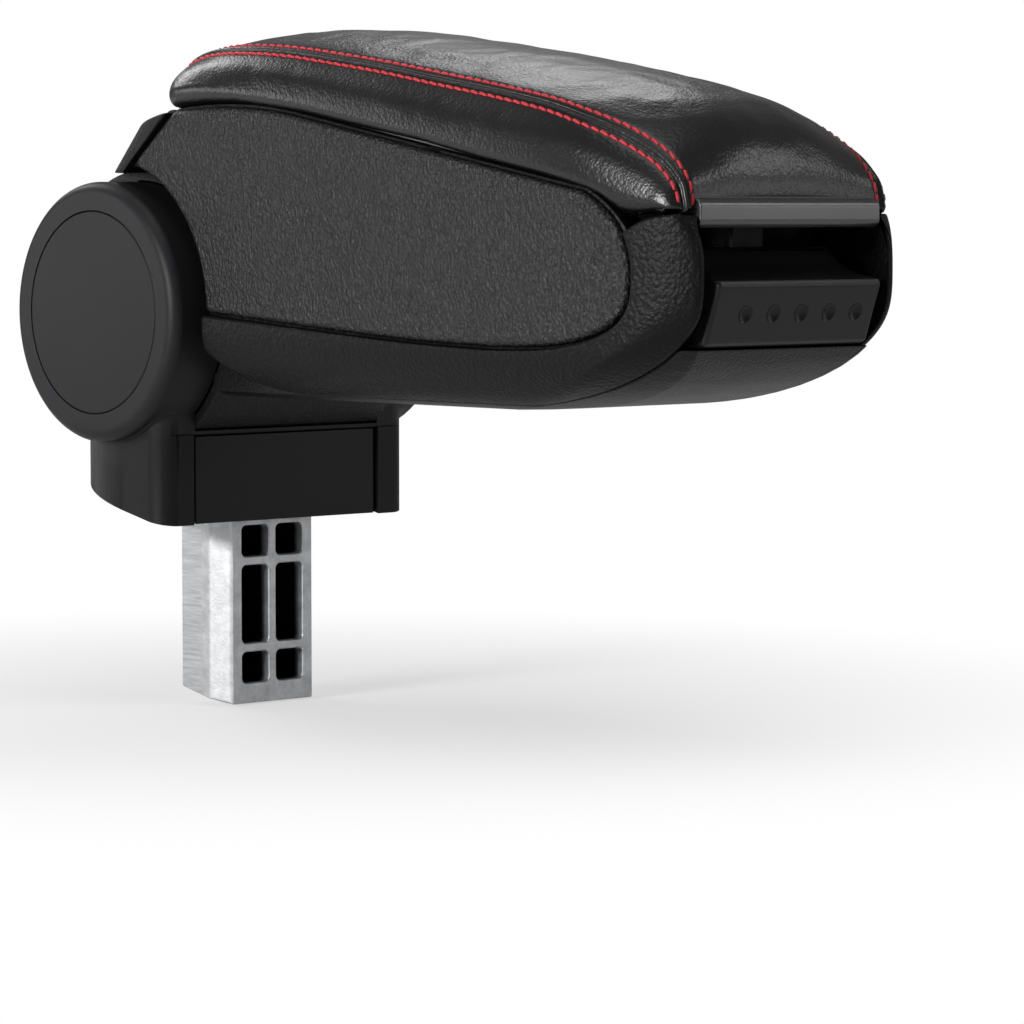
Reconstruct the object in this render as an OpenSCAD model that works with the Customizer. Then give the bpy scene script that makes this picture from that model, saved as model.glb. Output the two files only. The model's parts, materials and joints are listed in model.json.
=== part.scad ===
// Car centre armrest with a folding arm, a padded lid over a storage tub and a cast mounting stem.
// The origin is on the sloping underside of the collar, on the centre line of the stem.
// The arm points along +X, its left side is +Y and up is +Z.

/* [Collar] */
// Step of the collar's sides inside the cheek caps
collar_step = 6.1; // [4:0.1:8]
// Distance from the hinge axis to the front face of the collar
collar_front = 26.5; // [25.5:0.5:34]
// Distance from the hinge axis to the rounded back of the collar
collar_back = 43.2; // [40:0.4:46]
// Slope of the collar's underside, lower at the front, in degrees
collar_slope = 12.4; // [8:0.2:16]
// Height of the hinge axis above the origin
axis_up = 62; // [60:1:74]
// Distance of the hinge axis behind the stem's centre line
axis_back = 8; // [6:0.5:9]
// Depth of the collar's top edge below the hinge axis
collar_top = 38; // [36:0.5:40]
// Radius of the collar's upright front corners
collar_round = 7; // [2:0.5:9]
// Overlap of the front plate's recess on each cheek's line
plate_lap = 0.5; // [0:0.1:2]
// Thickness of the front plate
plate_t = 2; // [1.6:0.1:2.4]
// Depth of the front plate's face behind the posts
plate_inset = 0.8; // [0.4:0.1:1.4]
// Width of the shadow groove at each side of the front plate
groove_w = 1.2; // [0.6:0.2:2]

/* [Stem] */
// Width of the stem across the car
stem_w = 40; // [34:1:46]
// Thickness of the stem from back to front
stem_t = 21.5; // [18:0.5:24]
// Length of the stem below the collar on its centre line
stem_len = 60.5; // [54:0.5:90]
// Length of the stem held inside the collar
stem_grip = 9; // [6:0.5:9]
// Width of the raised window frame on the stem's front
frame_w = 33; // [31:1:33]
// Height by which the window frame stands proud
frame_proud = 1; // [0.4:0.2:1.6]
// Depth of the sloping corners beside the window frame
stem_bevel = 7.5; // [4:0.5:9]
// Width of one window
window_w = 11; // [8:0.5:12]
// Width of the rib between the two columns of windows
window_rib = 3; // [2:0.2:4]
// Height of the small windows at the top and bottom
window_low = 10; // [6:0.5:10]
// Height of the tall windows in the middle
window_tall = 25; // [16:1:26]
// Height of the ribs between the rows of windows
row_rib = 2.7; // [2:0.1:4]
// Metal left under the lowest windows
stem_sill = 6.5; // [4:0.5:10]
// Corner radius of the windows
window_round = 1.8; // [0.8:0.2:2.6]
// Metal left behind the windows
stem_wall = 4.5; // [3:0.5:8]

/* [Hinge] */
// Diameter of the two cheek discs
cheek_d = 81.4; // [78:0.2:82]
// Width of one cheek with its cap
cheek_w = 19.6; // [17:0.2:22]
// Gap between the two cheeks
fork_gap = 75; // [70:1:78]
// Edge radius of the cheek discs
cheek_round = 4; // [2:0.5:6]
// Diameter of the arm's drum between the cheeks
drum_d = 89; // [87:0.5:90]
// Side play of the drum between the cheeks
side_play = 0.3; // [0.2:0.05:0.5]
// Gap between the drum and the hollow of the collar
drum_gap = 0.8; // [0.5:0.1:1]
// Step of the neck plates outside the drum
neck_lip = 1.5; // [1:0.1:1.8]
// Gap that the arm keeps to the neck plates as it swings
swing_gap = 1; // [0.8:0.1:2]
// Diameter of the cheek caps
cap_d = 63; // [56:1:66]
// Thickness of the cheek caps
cap_t = 2.6; // [2:0.2:3]
// Gap round each cheek cap
cap_gap = 0.35; // [0.2:0.05:0.5]
// Depth of the pocket under each cap
cap_pocket = 8; // [7.5:0.5:9]
// Diameter of the hinge axle
axle_d = 12; // [8:0.5:14]
// Running clearance on the radius of the axle
axle_clear = 0.06; // [0.03:0.01:0.1]
// Wall thickness of the axle bushes
bush_wall = 2; // [1.5:0.5:3]
// Distance of the stop pegs from the hinge axis
peg_r = 28; // [25:0.5:30]
// Diameter of the stop pegs
peg_d = 6; // [4:0.5:7]
// Angle through which the arm folds up
swing_angle = 90; // [75:1:95]

/* [Arm] */
// Distance from the hinge axis to the front edge of the arm
arm_reach = 249.7; // [235:0.1:285]
// Width of each side shell beyond the tub
shell_w = 13.8; // [12:0.2:16]
// Depth of the arm's underside below the hinge axis
arm_drop = 25.5; // [24:0.5:30]
// Height of the tub's rim above the hinge axis at its front end
rim_front = 31.2; // [30:0.1:36]
// Slope of the tub's rim, lower at the front, in degrees
rim_slope = 10.5; // [9:0.1:11]
// Radius of the rim where it bends down at the rear
rim_radius = 200; // [180:5:260]
// Radius of the arm's lower long edges
belly_round = 22; // [12:1:25]
// Wall thickness of the side shells
shell_t = 4.6; // [4.2:0.2:6]
// Depth of the side panel's face below the side shell's face
panel_inset = 0.8; // [0.4:0.1:1.2]
// Thickness of the side panels
panel_t = 2.4; // [1.8:0.2:2.6]
// Width of the shadow line round the side panels
panel_gap = 0.8; // [0.4:0.1:1.4]
// Distance from the side panel's nose to the front edge of the arm
panel_nose = 22; // [18:1:30]
// Depth of the side panel's lower edge below the hinge axis
panel_drop = 6.8; // [4:0.2:9]
// Depth of the side panel's lower edge at its rear end
panel_heel = -0.6; // [-2:0.2:4]
// Wall thickness of the tub
tub_wall = 3; // [2.2:0.2:3.4]
// Distance from the hinge axis to the inside of the tub's rear wall
tub_rear = 56; // [54:1:70]
// Depth from the arm's front edge back to the latch bay's rear wall
bay_depth = 32; // [31:0.5:36]
// Depth of the latch bay's floor below the hinge axis
bay_floor = 6.6; // [5:0.2:9]
// Thickness of the mat in the tub
mat_t = 1.5; // [1:0.5:3]

/* [Lid] */
// Distance of the lid's pin in front of the hinge axis
pin_x = 15.5; // [14.5:0.5:17]
// Height of the lid's pin above the hinge axis
pin_z = 58.5; // [57:0.5:60]
// Diameter of the lid's pin
pin_d = 4; // [3:0.5:5]
// Running clearance on the radius of the lid's pin
pin_clear = 0.06; // [0.03:0.01:0.1]
// Wall of the knuckles round the lid's pin
knuckle_wall = 2.5; // [2:0.25:3]
// Width of each hinge arm of the lid
knuckle_w = 12; // [8:1:14]
// Distance of the hinge arms inside the tub's sides
knuckle_in = 8.2; // [6:0.2:12]
// Thickness of the lid plate
lid_t = 3; // [2.4:0.2:4]
// Gap between the tub's rim and the lid plate
lid_gap = 0.8; // [0.4:0.1:1.2]
// Gap between each end of the pull bar and the side shell
bar_gap = 0.9; // [0.6:0.1:2]
// Height of the pull bar
bar_h = 8; // [6:0.5:9]
// Height of the padding's seam above the lid plate
seam_h = 15; // [10:0.5:18]
// Height of the padding's crown above the lid plate
crown_h = 25.6; // [20:0.2:30]
// Distance of the padding's seam inside its widest line
seam_in = 4; // [3:0.5:7]

/* [Latch] */
// Gap between each end of the latch button and the side shell
latch_gap = 4.2; // [2:0.2:6]
// Height of the latch button's thumb face
thumb_h = 17; // [12:0.5:18]
// Travel of the latch button
latch_travel = 3; // [2:0.5:3]
// Number of dimples in the thumb face
dimple_n = 5; // [3:1:5]
// Distance between the dimples
dimple_pitch = 11.2; // [8:0.1:12]
// Distance by which the row of dimples is off the centre line
dimple_off = 2.4; // [0:0.2:4]
// Diameter of one dimple
dimple_d = 5.6; // [3:0.2:6]
// Radius of the finger scoop
scoop_r = 20; // [17:1:24]
// Diameter of the latch springs
spring_d = 7; // [5:0.5:8]
// Thickness of the latch springs' wire
spring_wire = 0.9; // [0.6:0.1:1.2]
// Number of turns in one latch spring
spring_turns = 3; // [2:1:4]

/* [Hidden] */
$fn = 64;
right = 1;
left = -1;
far = 700;
fit = 0.15;
charcoal = "#2f2f31";
satin = "#3a3a3b";
black = "#1c1c1d";

// Widths across the car
cheek_span = fork_gap + 2 * cheek_w;
collar_w = cheek_span - 2 * collar_step;
plate_w = fork_gap + 2 * plate_lap;
drum_w = fork_gap - 2 * side_play;
half_tub = drum_w / 2;
half_w = half_tub + shell_w;
arm_w = 2 * half_w;
knuckle_y = half_tub - knuckle_in - knuckle_w;
bar_w = 2 * (half_tub - bar_gap);
latch_w = 2 * (half_tub - latch_gap);

// Hinge sizes
cheek_r = cheek_d / 2;
drum_r = drum_d / 2;
hollow_r = drum_r + drum_gap;
neck_r = drum_r + neck_lip;
swing_r = max(neck_r, cheek_r) + swing_gap;
neck_top = 22;
axle_r = axle_d / 2;
bush_r = axle_r + axle_clear + bush_wall;
pocket_y = cheek_span / 2 - cap_pocket;
axle_head_r = axle_r + 4;
axle_head_t = 4;
nut_gap = 0.5;
bush_flange = 1;
hub_r = bush_r + 4;
drum_ring = 3.5;
drum_web = 3;
rib_t = 3;
stop_play = 1;
peg_angle = -40;
peg_reach = 9;
peg_half = asin((peg_d / 2 + rib_t / 2 + stop_play) / peg_r);
stop_end = peg_angle + peg_half;
stop_start = peg_angle - swing_angle - peg_half;
rib_n = 5;
rib_pitch = (360 - (stop_end - stop_start)) / (rib_n - 1);

// Stem sizes
stem_play = 0.1;
stem_lead = 0.6;
stem_lead_depth = 1.2;
screw_d = 6;
screw_y = 12;
screw_head_d = 10;
screw_head_h = 3.4;
screw_len = 16;

// Arm sizes
nose_back = 99.7;
nose_x = arm_reach - nose_back;
nose_z = 14;
nose_up = 35;
nose_shift = 22;
nose_inset = 1.3;
nose_power = 2.8;
plan_power = 4;
plan_over = 11.2;
corner_turn = 47;
corner_back = 129.7;
corner_reach = 78.5;
corner_power = 2.3;
corner_spare = 0.5;
rim_x1 = arm_reach - 3.7;
rim_bend_x = 90;
joint_x0 = 10.5;
joint_z0 = sqrt(swing_r * swing_r - joint_x0 * joint_x0);
joint_x1 = 31.6;
joint_z1 = 62.4;
joint_gap = 0.8;
panel_lip = 0.3;
dip_front = 31.2;
dip_run = 5.5;
dip_slope = 0.22;
heel_angle = -14;
heel_x = swing_r * cos(heel_angle);
bay_x = arm_reach - bay_depth;
tub_floor = tub_wall;
bay_ramp = 44;
web_x = [20, 80];
web_z = 40;
rib_foot = 8;
tub_front = bay_x - tub_wall;
cover_t = 2.6;
cover_x = -10.4;
cover_low = 43.5;
cover_back = [[-13, 40], [cover_x, cover_low], [-5.6, 50.4], [-0.4, 56.4], [4.6, 61.2]];
cover_turn = [128, 35];
cover_inner = [0.66, -0.75];
cover_lean = 43;
cover_round = 20;
cover_clear = 0.2;
slot_drop = 12;
slot_size = 40;
nose_cover_r = 9;
shell_screw_d = 3;
shell_screw_rear = 24;
shell_screw_front = 32.7;
shell_screw_x = [tub_rear + shell_screw_rear, bay_x - shell_screw_front];
shell_screw_z = 2;
shell_head_d = 6;
shell_head_t = 1.9;
shell_bite = 4;

// Lid sizes
pin_r = pin_d / 2;
knuckle_r = pin_r + pin_clear + knuckle_wall;
knuckle_play = 0.4;
pin_len = drum_w - 4;
plate_x0 = pin_x + 9;
lid_round = 14;
plate_x1 = arm_reach - 7;
lid_inset = 4;
bar_x0 = arm_reach - 15;
bar_x1 = arm_reach - 4.6;
bar_round = 2.4;
bar_top = rim_front + lid_gap + lid_t;
pad_gap = 0.3;
pad_x0 = pin_x + 7;
pad_x1 = arm_reach - 6.2;
pad_skirt = 2.6;
hem_bend = 34.4;
hem_bend_z = 36.8;
hem_fall = 0.74;
hem_gap = 0.8;
lid_turn = plate_x0 + lid_round;
lid_steps = concat(
    [for (i = [0:8]) plate_x0 + lid_round * i / 8], [for (i = [1:16]) lid_turn + (plate_x1 - lid_turn) * i / 16]
);

// Latch sizes
latch_top = 11.8;
latch_low = latch_top - thumb_h;
latch_face = arm_reach - 0.4;
latch_lean = 6;
latch_back = bay_x + latch_travel + 1.2;
latch_crest = 21.5;
latch_floor_gap = 0.4;
latch_notch = 5;
dimple_depth = 1.3;
dimple_r = (dimple_d * dimple_d / 4 + dimple_depth * dimple_depth) / (2 * dimple_depth);
hook_t = 2.4;
hook_top = latch_crest - 1;
hook_h = 2.6;
hook_nose = 1.8;
hook_drop = 3;
striker_t = 1.5;
striker_w = 12;
striker_gap = 0.4;
striker_room = latch_travel + striker_gap;
flange_w = 44;
flange_x = bay_x + 1.2;
striker_screw_d = 2.4;
striker_screw_in = 7;
striker_bite = 2;
striker_head_d = 4.6;
striker_head_t = 1.4;
bumper_d = 2;
bumper_in = 6.2;
bumper_sink = 2;
bumper_up = lid_gap - 0.3;
spring_y = latch_w / 2 - 9;
spring_len = latch_back - bay_x - 0.2;

// Height of the tub's rim above the hinge axis at a distance x from it
function rim_z(x) =
    rim_front + tan(rim_slope) * (rim_x1 - x) - pow(max(0, rim_bend_x - x), 2) / (2 * rim_radius);

// Height of the lid plate's underside above the hinge axis
function under_lid(x) = rim_z(x) + lid_gap;

// Half width of the arm's plan at x, lessened by t
function plan_y(x, t) =
    let(a = arm_reach + plan_over - nose_x - t)
    x < nose_x ? half_w - t : (half_w - t) * pow(max(0, 1 - pow((x - nose_x) / a, plan_power)), 1 / plan_power);

// Half width of the lid at x, lessened by t and rounded at the rear
function lid_y(x, t) =
    let(u = max(0, 1 - (x - pad_x0 - t) / lid_round))
    min(plan_y(x, t), half_w - t - lid_round * (1 - sqrt(max(0, 1 - u * u))));

// Rounded corner of half axes a and b and roundness n, from angle w0 to w1
function round_arc(cx, cy, a, b, n, w0, w1, steps) =
    [for (i = [0:steps])
        let(w = w0 + (w1 - w0) * i / steps)
        [cx + a * sign(cos(w)) * pow(abs(cos(w)), 2 / n), cy + b * sign(sin(w)) * pow(abs(sin(w)), 2 / n)]];

// Points on a circle about c
function arc(c, r, w0, w1, steps) =
    [for (i = [0:steps]) let(w = w0 + (w1 - w0) * i / steps) c + r * [cos(w), sin(w)]];

// One point of the smooth curve through b and c, with a and d as the neighbours
function curve_point(a, b, c, d, t) =
    0.5 * (2 * b + (c - a) * t + (2 * a - 5 * b + 4 * c - d) * t * t + (3 * b - a - 3 * c + d) * t * t * t);

// Smooth curve through a list of points, with n steps between neighbours
function curve(p, n) =
    let(last = len(p) - 1)
    concat([for (i = [0:last - 1], k = [0:n - 1])
        curve_point(p[max(i - 1, 0)], p[i], p[i + 1], p[min(i + 2, last)], k / n)], [p[last]]);

// Moves its children from the hinge axis to their place
module at_hinge() {
    translate([-axis_back, 0, axis_up]) children();
}

// Turns a child that stands on its base so that it points out of one side
module outward(side) {
    rotate([side * 90, 0, 0]) children();
}

// Carries a side view across the arm from y0 to y1
module across(y0, y1) {
    translate([0, y1, 0]) rotate([90, 0, 0]) linear_extrude(y1 - y0) children();
}

// Carries a front view along the arm from x0 to x1
module along(x0, x1) {
    translate([x0, 0, 0]) rotate([90, 0, 90]) linear_extrude(x1 - x0) children();
}

module rounded_square(w, h, r) {
    translate([-w / 2 + r, -h / 2]) square([w - 2 * r, h]);
    translate([-w / 2, -h / 2 + r]) square([w, h - 2 * r]);
    for (sx = [-1, 1], sy = [-1, 1]) {
        translate([sx * (w / 2 - r), sy * (h / 2 - r)]) circle(r);
    }
}

// Half section of a disc whose outer edge is rounded, from z0 to z1
module rim_section(r, z0, z1, edge) {
    translate([0, z0]) square([r, z1 - z0 - edge]);
    translate([0, z0]) square([r - edge, z1 - z0]);
    translate([r - edge, z1 - edge]) circle(edge);
}

// Plan of the collar, round at the back and square at the front
module collar_plan(t) {
    r = collar_w / 2 - t;
    mid = collar_w / 2 - collar_back;
    front = collar_front - t;
    intersection() {
        translate([mid, 0]) circle(r, $fn = 128);
        translate([mid - far, -r]) square([far, 2 * r]);
    }
    translate([mid, -r]) square([front - mid - collar_round, 2 * r]);
    translate([mid, -r + collar_round]) square([front - mid, 2 * (r - collar_round)]);
    for (s = [-1, 1]) {
        translate([front - collar_round, s * (r - collar_round)]) circle(collar_round);
    }
}

// Everything below the collar's sloping underside, lowered by d
module below_collar(d) {
    rotate([0, collar_slope, 0]) translate([-far / 2, -far / 2, -far - d]) cube(far);
}

// Section of the cast stem, widened by g all round
module stem_plan(g) {
    x1 = stem_t / 2 + g;
    translate([-x1, -stem_w / 2 - g]) square([2 * x1 - stem_bevel, stem_w + 2 * g]);
    polygon([
        [x1 - stem_bevel, -stem_w / 2 - g], [x1 - frame_proud, -frame_w / 2 - g],
        [x1 - frame_proud, frame_w / 2 + g], [x1 - stem_bevel, stem_w / 2 + g]
    ]);
    translate([x1 - frame_proud, -frame_w / 2 - g]) square([frame_proud, frame_w + 2 * g]);
}

module collar_block() {
    difference() {
        at_hinge() {
            translate([0, 0, -far / 2 - collar_top]) linear_extrude(far / 2) collar_plan(0);
        }
        below_collar(0);
    }
}

// Plates that join the collar to the cheeks
module neck_plates() {
    at_hinge() {
        intersection() {
            translate([0, 0, -collar_top - 1]) linear_extrude(collar_top - neck_top + 1) collar_plan(0);
            outward(right) cylinder(r = neck_r, h = collar_w, center = true, $fn = 128);
        }
    }
}

module cheek(side) {
    outward(side) rotate_extrude($fn = 128) {
        rim_section(cheek_r, fork_gap / 2, cheek_span / 2, cheek_round);
    }
}

module cheek_bores(side) {
    outward(side) {
        translate([0, 0, cheek_span / 2 - cap_t]) cylinder(r = cap_d / 2 + cap_gap, h = far, $fn = 128);
        translate([0, 0, pocket_y]) cylinder(r = cap_d / 2 - 4, h = far, $fn = 96);
        cylinder(r = bush_r, h = far);
        rotate([0, 0, side * peg_angle]) translate([peg_r, 0, 0]) cylinder(d = peg_d, h = pocket_y);
    }
}

module plate_pocket() {
    at_hinge() {
        translate([collar_front - plate_inset - plate_t - fit, -plate_w / 2, -far]) cube([far, plate_w, 2 * far]);
    }
}

module hinge_fork() {
    color(black)
    difference() {
        union() {
            collar_block();
            neck_plates();
            at_hinge() {
                cheek(right);
                cheek(left);
            }
        }
        at_hinge() {
            outward(right) cylinder(r = hollow_r, h = fork_gap, center = true, $fn = 128);
            cheek_bores(right);
            cheek_bores(left);
        }
        intersection() {
            plate_pocket();
            at_hinge() translate([0, 0, -far / 2 - collar_top]) cube([far, plate_w, far], center = true);
        }
        translate([0, 0, -far]) linear_extrude(far + stem_grip) stem_plan(stem_play);
        intersection() {
            translate([0, 0, -far / 2]) linear_extrude(far) stem_plan(stem_play + stem_lead);
            below_collar(-stem_lead_depth);
        }
        for (s = [-1, 1]) {
            translate([0, s * screw_y, 0]) {
                cylinder(d = screw_d + 2 * fit, h = far);
                translate([0, 0, stem_grip + 3]) cylinder(d = screw_head_d + 4 * fit, h = axis_up - stem_grip);
            }
        }
    }
}

module front_plate() {
    color(black)
    difference() {
        at_hinge() {
            translate([collar_front - plate_inset - plate_t, -plate_w / 2 + groove_w, -far / 2 - collar_top])
                cube([plate_t, plate_w - 2 * groove_w, far / 2 - 0.4]);
        }
        below_collar(0);
    }
}

module stem_windows() {
    row = [window_low, window_tall, window_low];
    low = [stem_sill, stem_sill + window_low + row_rib, stem_sill + window_low + window_tall + 2 * row_rib];
    sole = -stem_len - stem_t / 2 * tan(collar_slope);
    for (i = [0:2], s = [-1, 1]) {
        translate([-stem_t / 2 + stem_wall, s * (window_rib + window_w) / 2, sole + low[i] + row[i] / 2])
            rotate([90, 0, 90]) linear_extrude(far) rounded_square(window_w, row[i], window_round);
    }
}

module stem() {
    color("#b9babb")
    difference() {
        translate([0, 0, -far / 2]) linear_extrude(far / 2 + stem_grip) stem_plan(0);
        below_collar(stem_len * cos(collar_slope));
        stem_windows();
        for (s = [-1, 1]) {
            translate([0, s * screw_y, stem_grip - screw_len + 3]) cylinder(d = screw_d, h = far);
        }
    }
}

module stem_screws() {
    color("#8f9094")
    for (s = [-1, 1]) {
        translate([0, s * screw_y, stem_grip + 3]) {
            translate([0, 0, -screw_len + 1]) cylinder(d = screw_d, h = screw_len);
            difference() {
                cylinder(d = screw_head_d, h = screw_head_h);
                translate([0, 0, screw_head_h / 2]) cylinder(d = 5.8, h = screw_head_h, $fn = 6);
            }
        }
    }
}

module hinge_axle() {
    color("#9b9ca0")
    at_hinge() outward(right) {
        translate([0, 0, -pocket_y - nut_gap]) cylinder(r = axle_r, h = 2 * (pocket_y + nut_gap) + axle_head_t);
        translate([0, 0, -pocket_y - nut_gap - axle_head_t]) cylinder(r = axle_head_r, h = axle_head_t, $fn = 6);
    }
}

module axle_nut() {
    color("#9b9ca0")
    at_hinge() outward(right) {
        translate([0, 0, pocket_y + nut_gap]) {
            difference() {
                cylinder(r = axle_head_r, h = axle_head_t - 0.5, $fn = 6);
                translate([0, 0, -1]) cylinder(r = axle_r + 0.02, h = axle_head_t + 2);
            }
        }
    }
}

module bush(side) {
    color("#d9d4c4")
    at_hinge() outward(side) {
        difference() {
            union() {
                translate([0, 0, fork_gap / 2]) cylinder(r = bush_r, h = pocket_y - fork_gap / 2);
                translate([0, 0, pocket_y]) cylinder(r = bush_r + 1.5, h = nut_gap - 0.1);
            }
            cylinder(r = axle_r + axle_clear, h = far);
        }
    }
}

module stop_pegs() {
    color("#9b9ca0")
    at_hinge() {
        for (side = [left, right]) {
            outward(side) rotate([0, 0, side * peg_angle]) {
                translate([peg_r, 0, fork_gap / 2 - peg_reach]) cylinder(d = peg_d, h = pocket_y - fork_gap / 2 + peg_reach);
            }
        }
    }
}

module cap(side) {
    color(satin)
    at_hinge() outward(side) {
        translate([0, 0, cheek_span / 2 - cap_t]) cylinder(r = cap_d / 2, h = cap_t, $fn = 128);
    }
}

// Side view of the arm without its drum, inset by t
module side_view(t) {
    a = nose_back - nose_inset - t;
    difference() {
        polygon(concat(
            [[0, 120], [0, swing_r * sin(heel_angle) + t]],
            curve([[heel_x, swing_r * sin(heel_angle) + t], [54, -18 + t], [63, -23 + t], [78, -arm_drop + t]], 4),
            round_arc(nose_x, nose_z, a, arm_drop + nose_z - t, nose_power, -90, 0, 18),
            round_arc(nose_x, nose_z, a, nose_up - t, nose_power, 2, 60, 6),
            [[nose_x, 120]]
        ));
        circle(swing_r + t, $fn = 128);
        above_rim(t);
        joint_view(t);
    }
}

// Everything over the tub's rim, lowered by t
module above_rim(t) {
    x1 = rim_x1 + 20;
    polygon(concat(
        [for (i = [0:20]) let(x = x1 * i / 20) [x, rim_z(x) - t]],
        [[x1, 200], [0, 200]]
    ));
}

// Plan of the arm, inset by t
module arm_plan(t) {
    a = arm_reach + plan_over - nose_x - t;
    polygon(concat(
        [[-60, -half_w + t]],
        round_arc(nose_x, 0, a, half_w - t, plan_power, -90, 90, 48),
        [[-60, half_w - t]]
    ));
}

// Front view of the arm, inset by t
module arm_section(t) {
    w = half_w - t;
    r = belly_round - t;
    mid = -arm_drop + belly_round;
    polygon(concat(
        [[-w - 1, far / 2], [-w - 1, mid + 6]],
        round_arc(-w + r, mid, r, r, 2, 186, 264, 8),
        [[-w + r + 4, mid - r - 1], [w - r - 4, mid - r - 1]],
        round_arc(w - r, mid, r, r, 2, 276, 354, 8),
        [[w + 1, mid + 6], [w + 1, far / 2]]
    ));
}

// Space inside the rounding of the lower front corner on one side, which runs on the diagonal, inset by t
module corner_roll(side, t) {
    cx = arm_reach - corner_back;
    low = arm_drop + nose_z + corner_spare - t;
    rotate([0, 0, -side * corner_turn]) across(-far / 2, far / 2) polygon(concat(
        [[-far / 2, nose_z - low]],
        round_arc(cx, nose_z, corner_reach - t, low, corner_power, -90, 0, 14),
        [[cx + corner_reach - t, far / 2], [-far / 2, far / 2]]
    ));
}

// Long prism of the arm's plan and front view with rounded lower corners, inset by t
module arm_skin(t) {
    intersection() {
        translate([0, 0, -far / 2]) linear_extrude(far) arm_plan(t);
        along(-60, arm_reach + 10) arm_section(t);
        corner_roll(right, t);
        corner_roll(left, t);
    }
}

// Height of the side shell's top edge near the front, under the padding's front corners
function dip_z(x) = dip_front - dip_slope * (arm_reach - dip_run - x);

// Space over the side shell's top edge, in front of the side panel
module dip_view() {
    x1 = arm_reach - dip_run;
    difference() {
        polygon([
            [x1 - 30, dip_z(x1 - 30)], [x1, dip_front], [x1 + 2.3, dip_front - 0.4], [x1 + 4, dip_front - 2.1],
            [x1 + 10, dip_front - 12], [x1 + 10, 100], [x1 - 30, 100]
        ]);
        panel_view(panel_gap);
    }
}

// Outline of the side panel, grown by g
module panel_view(g) {
    a = nose_back - panel_nose - nose_shift;
    cx = nose_x + nose_shift;
    top = rim_z(cx) - nose_z - 0.4;
    difference() {
        polygon(concat(
            [[0, 120], [0, -panel_heel - g], [swing_r, -panel_heel - g], [(swing_r + cx) / 2, -panel_drop + 1.6 - g]],
            round_arc(cx, nose_z, a + g, nose_z + panel_drop + g, 3, -90, 0, 12),
            round_arc(cx, nose_z, a + g, top + g, 2.2, 6, 84, 10),
            [[cx, 120]]
        ));
        circle(swing_r - g, $fn = 128);
    }
}

// Space on one side of the tub
module side_space(side) {
    translate([-far / 2, side > 0 ? -far - half_tub : half_tub, -far / 2]) cube(far);
}

module side_shell(side) {
    color(charcoal)
    at_hinge()
    difference() {
        intersection() {
            across(-half_w - 5, half_w + 5) side_view(0);
            arm_skin(0);
            side_space(side);
        }
        intersection() {
            across(-half_w - 5, half_w + 5) side_view(shell_t);
            arm_skin(shell_t);
        }
        difference() {
            across(-half_w - 4, half_w + 4) panel_view(panel_gap);
            arm_skin(panel_inset + panel_t);
        }
        across(-half_w - 5, half_w + 5) dip_view();
    }
}

// Everything behind the joint between the side shells and the rear cover, moved forward by d
module joint_view(d) {
    slope = [joint_x1 - joint_x0, joint_z1 - joint_z0] / norm([joint_x1 - joint_x0, joint_z1 - joint_z0]);
    shift = d * [slope[1], -slope[0]];
    p = [joint_x0, joint_z0] + shift;
    polygon([p - 60 * slope, p + 60 * slope, p + [-100, 60], p + [-100, -60]]);
}

module side_panel(side) {
    color(charcoal)
    at_hinge()
    difference() {
        intersection() {
            across(-half_w - 5, half_w + 5) difference() {
                panel_view(0);
                above_rim(panel_lip);
                joint_view(panel_lip);
            }
            arm_skin(panel_inset);
            side_space(side);
        }
        arm_skin(panel_inset + panel_t - 0.1);
    }
}

// Side view of the storage space
module cavity_view() {
    polygon([
        [tub_rear, -arm_drop + tub_floor], [tub_front - bay_ramp, -arm_drop + tub_floor],
        [tub_front, -bay_floor - tub_wall], [tub_front, 150], [tub_rear, 150]
    ]);
}

module drum_pockets(side) {
    outward(side) {
        difference() {
            translate([0, 0, drum_web / 2]) difference() {
                cylinder(r = drum_r - drum_ring, h = far, $fn = 96);
                cylinder(r = hub_r, h = far);
            }
            for (i = [0:rib_n - 1]) {
                rotate([0, 0, side * (stop_end + i * rib_pitch)]) {
                    translate([0, -rib_t / 2, 0]) cube([drum_r, rib_t, far]);
                }
            }
        }
    }
}

module pin_lugs() {
    gap = knuckle_y + knuckle_w + knuckle_play;
    for (y = [[-half_tub, -gap], [-knuckle_y + knuckle_play, knuckle_y - knuckle_play], [gap, half_tub]]) {
        across(y[0], y[1]) {
            translate([pin_x, pin_z]) circle(knuckle_r);
            polygon([
                [pin_x - knuckle_r, pin_z], [pin_x - knuckle_r, drum_r - 4],
                [pin_x + knuckle_r + rib_foot, drum_r - rib_foot], [pin_x + knuckle_r, pin_z]
            ]);
        }
    }
}

module tub() {
    color(charcoal)
    at_hinge()
    difference() {
        union() {
            intersection() {
                across(-half_tub, half_tub) difference() {
                    union() {
                        side_view(0);
                        polygon([
                            [0, 0], [0, drum_r], [joint_x1, joint_z1], [web_x[1], web_z], [web_x[1], -arm_drop],
                            [web_x[0], -arm_drop]
                        ]);
                    }
                    above_rim(0);
                    joint_view(cover_t);
                }
                arm_skin(0);
            }
            outward(right) cylinder(r = drum_r, h = drum_w, center = true, $fn = 128);
            pin_lugs();
        }
        drum_pockets(right);
        drum_pockets(left);
        outward(right) cylinder(r = axle_r + axle_clear, h = far, center = true);
        translate([pin_x, 0, pin_z]) outward(right) cylinder(r = pin_r, h = far, center = true);
        across(-half_tub + tub_wall, half_tub - tub_wall) {
            cavity_view();
        }
        translate([bay_x, -far / 2, -bay_floor]) cube(far);
        hinge_bay();
        at_bumpers() cylinder(d = bumper_d + fit, h = far);
        for (x = shell_screw_x, s = [-1, 1]) {
            translate([x, s * half_tub, shell_screw_z]) outward(-s) {
                cylinder(d = shell_screw_d + 2 * fit, h = 2 * tub_wall + 1, center = true);
            }
        }
    }
}

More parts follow.
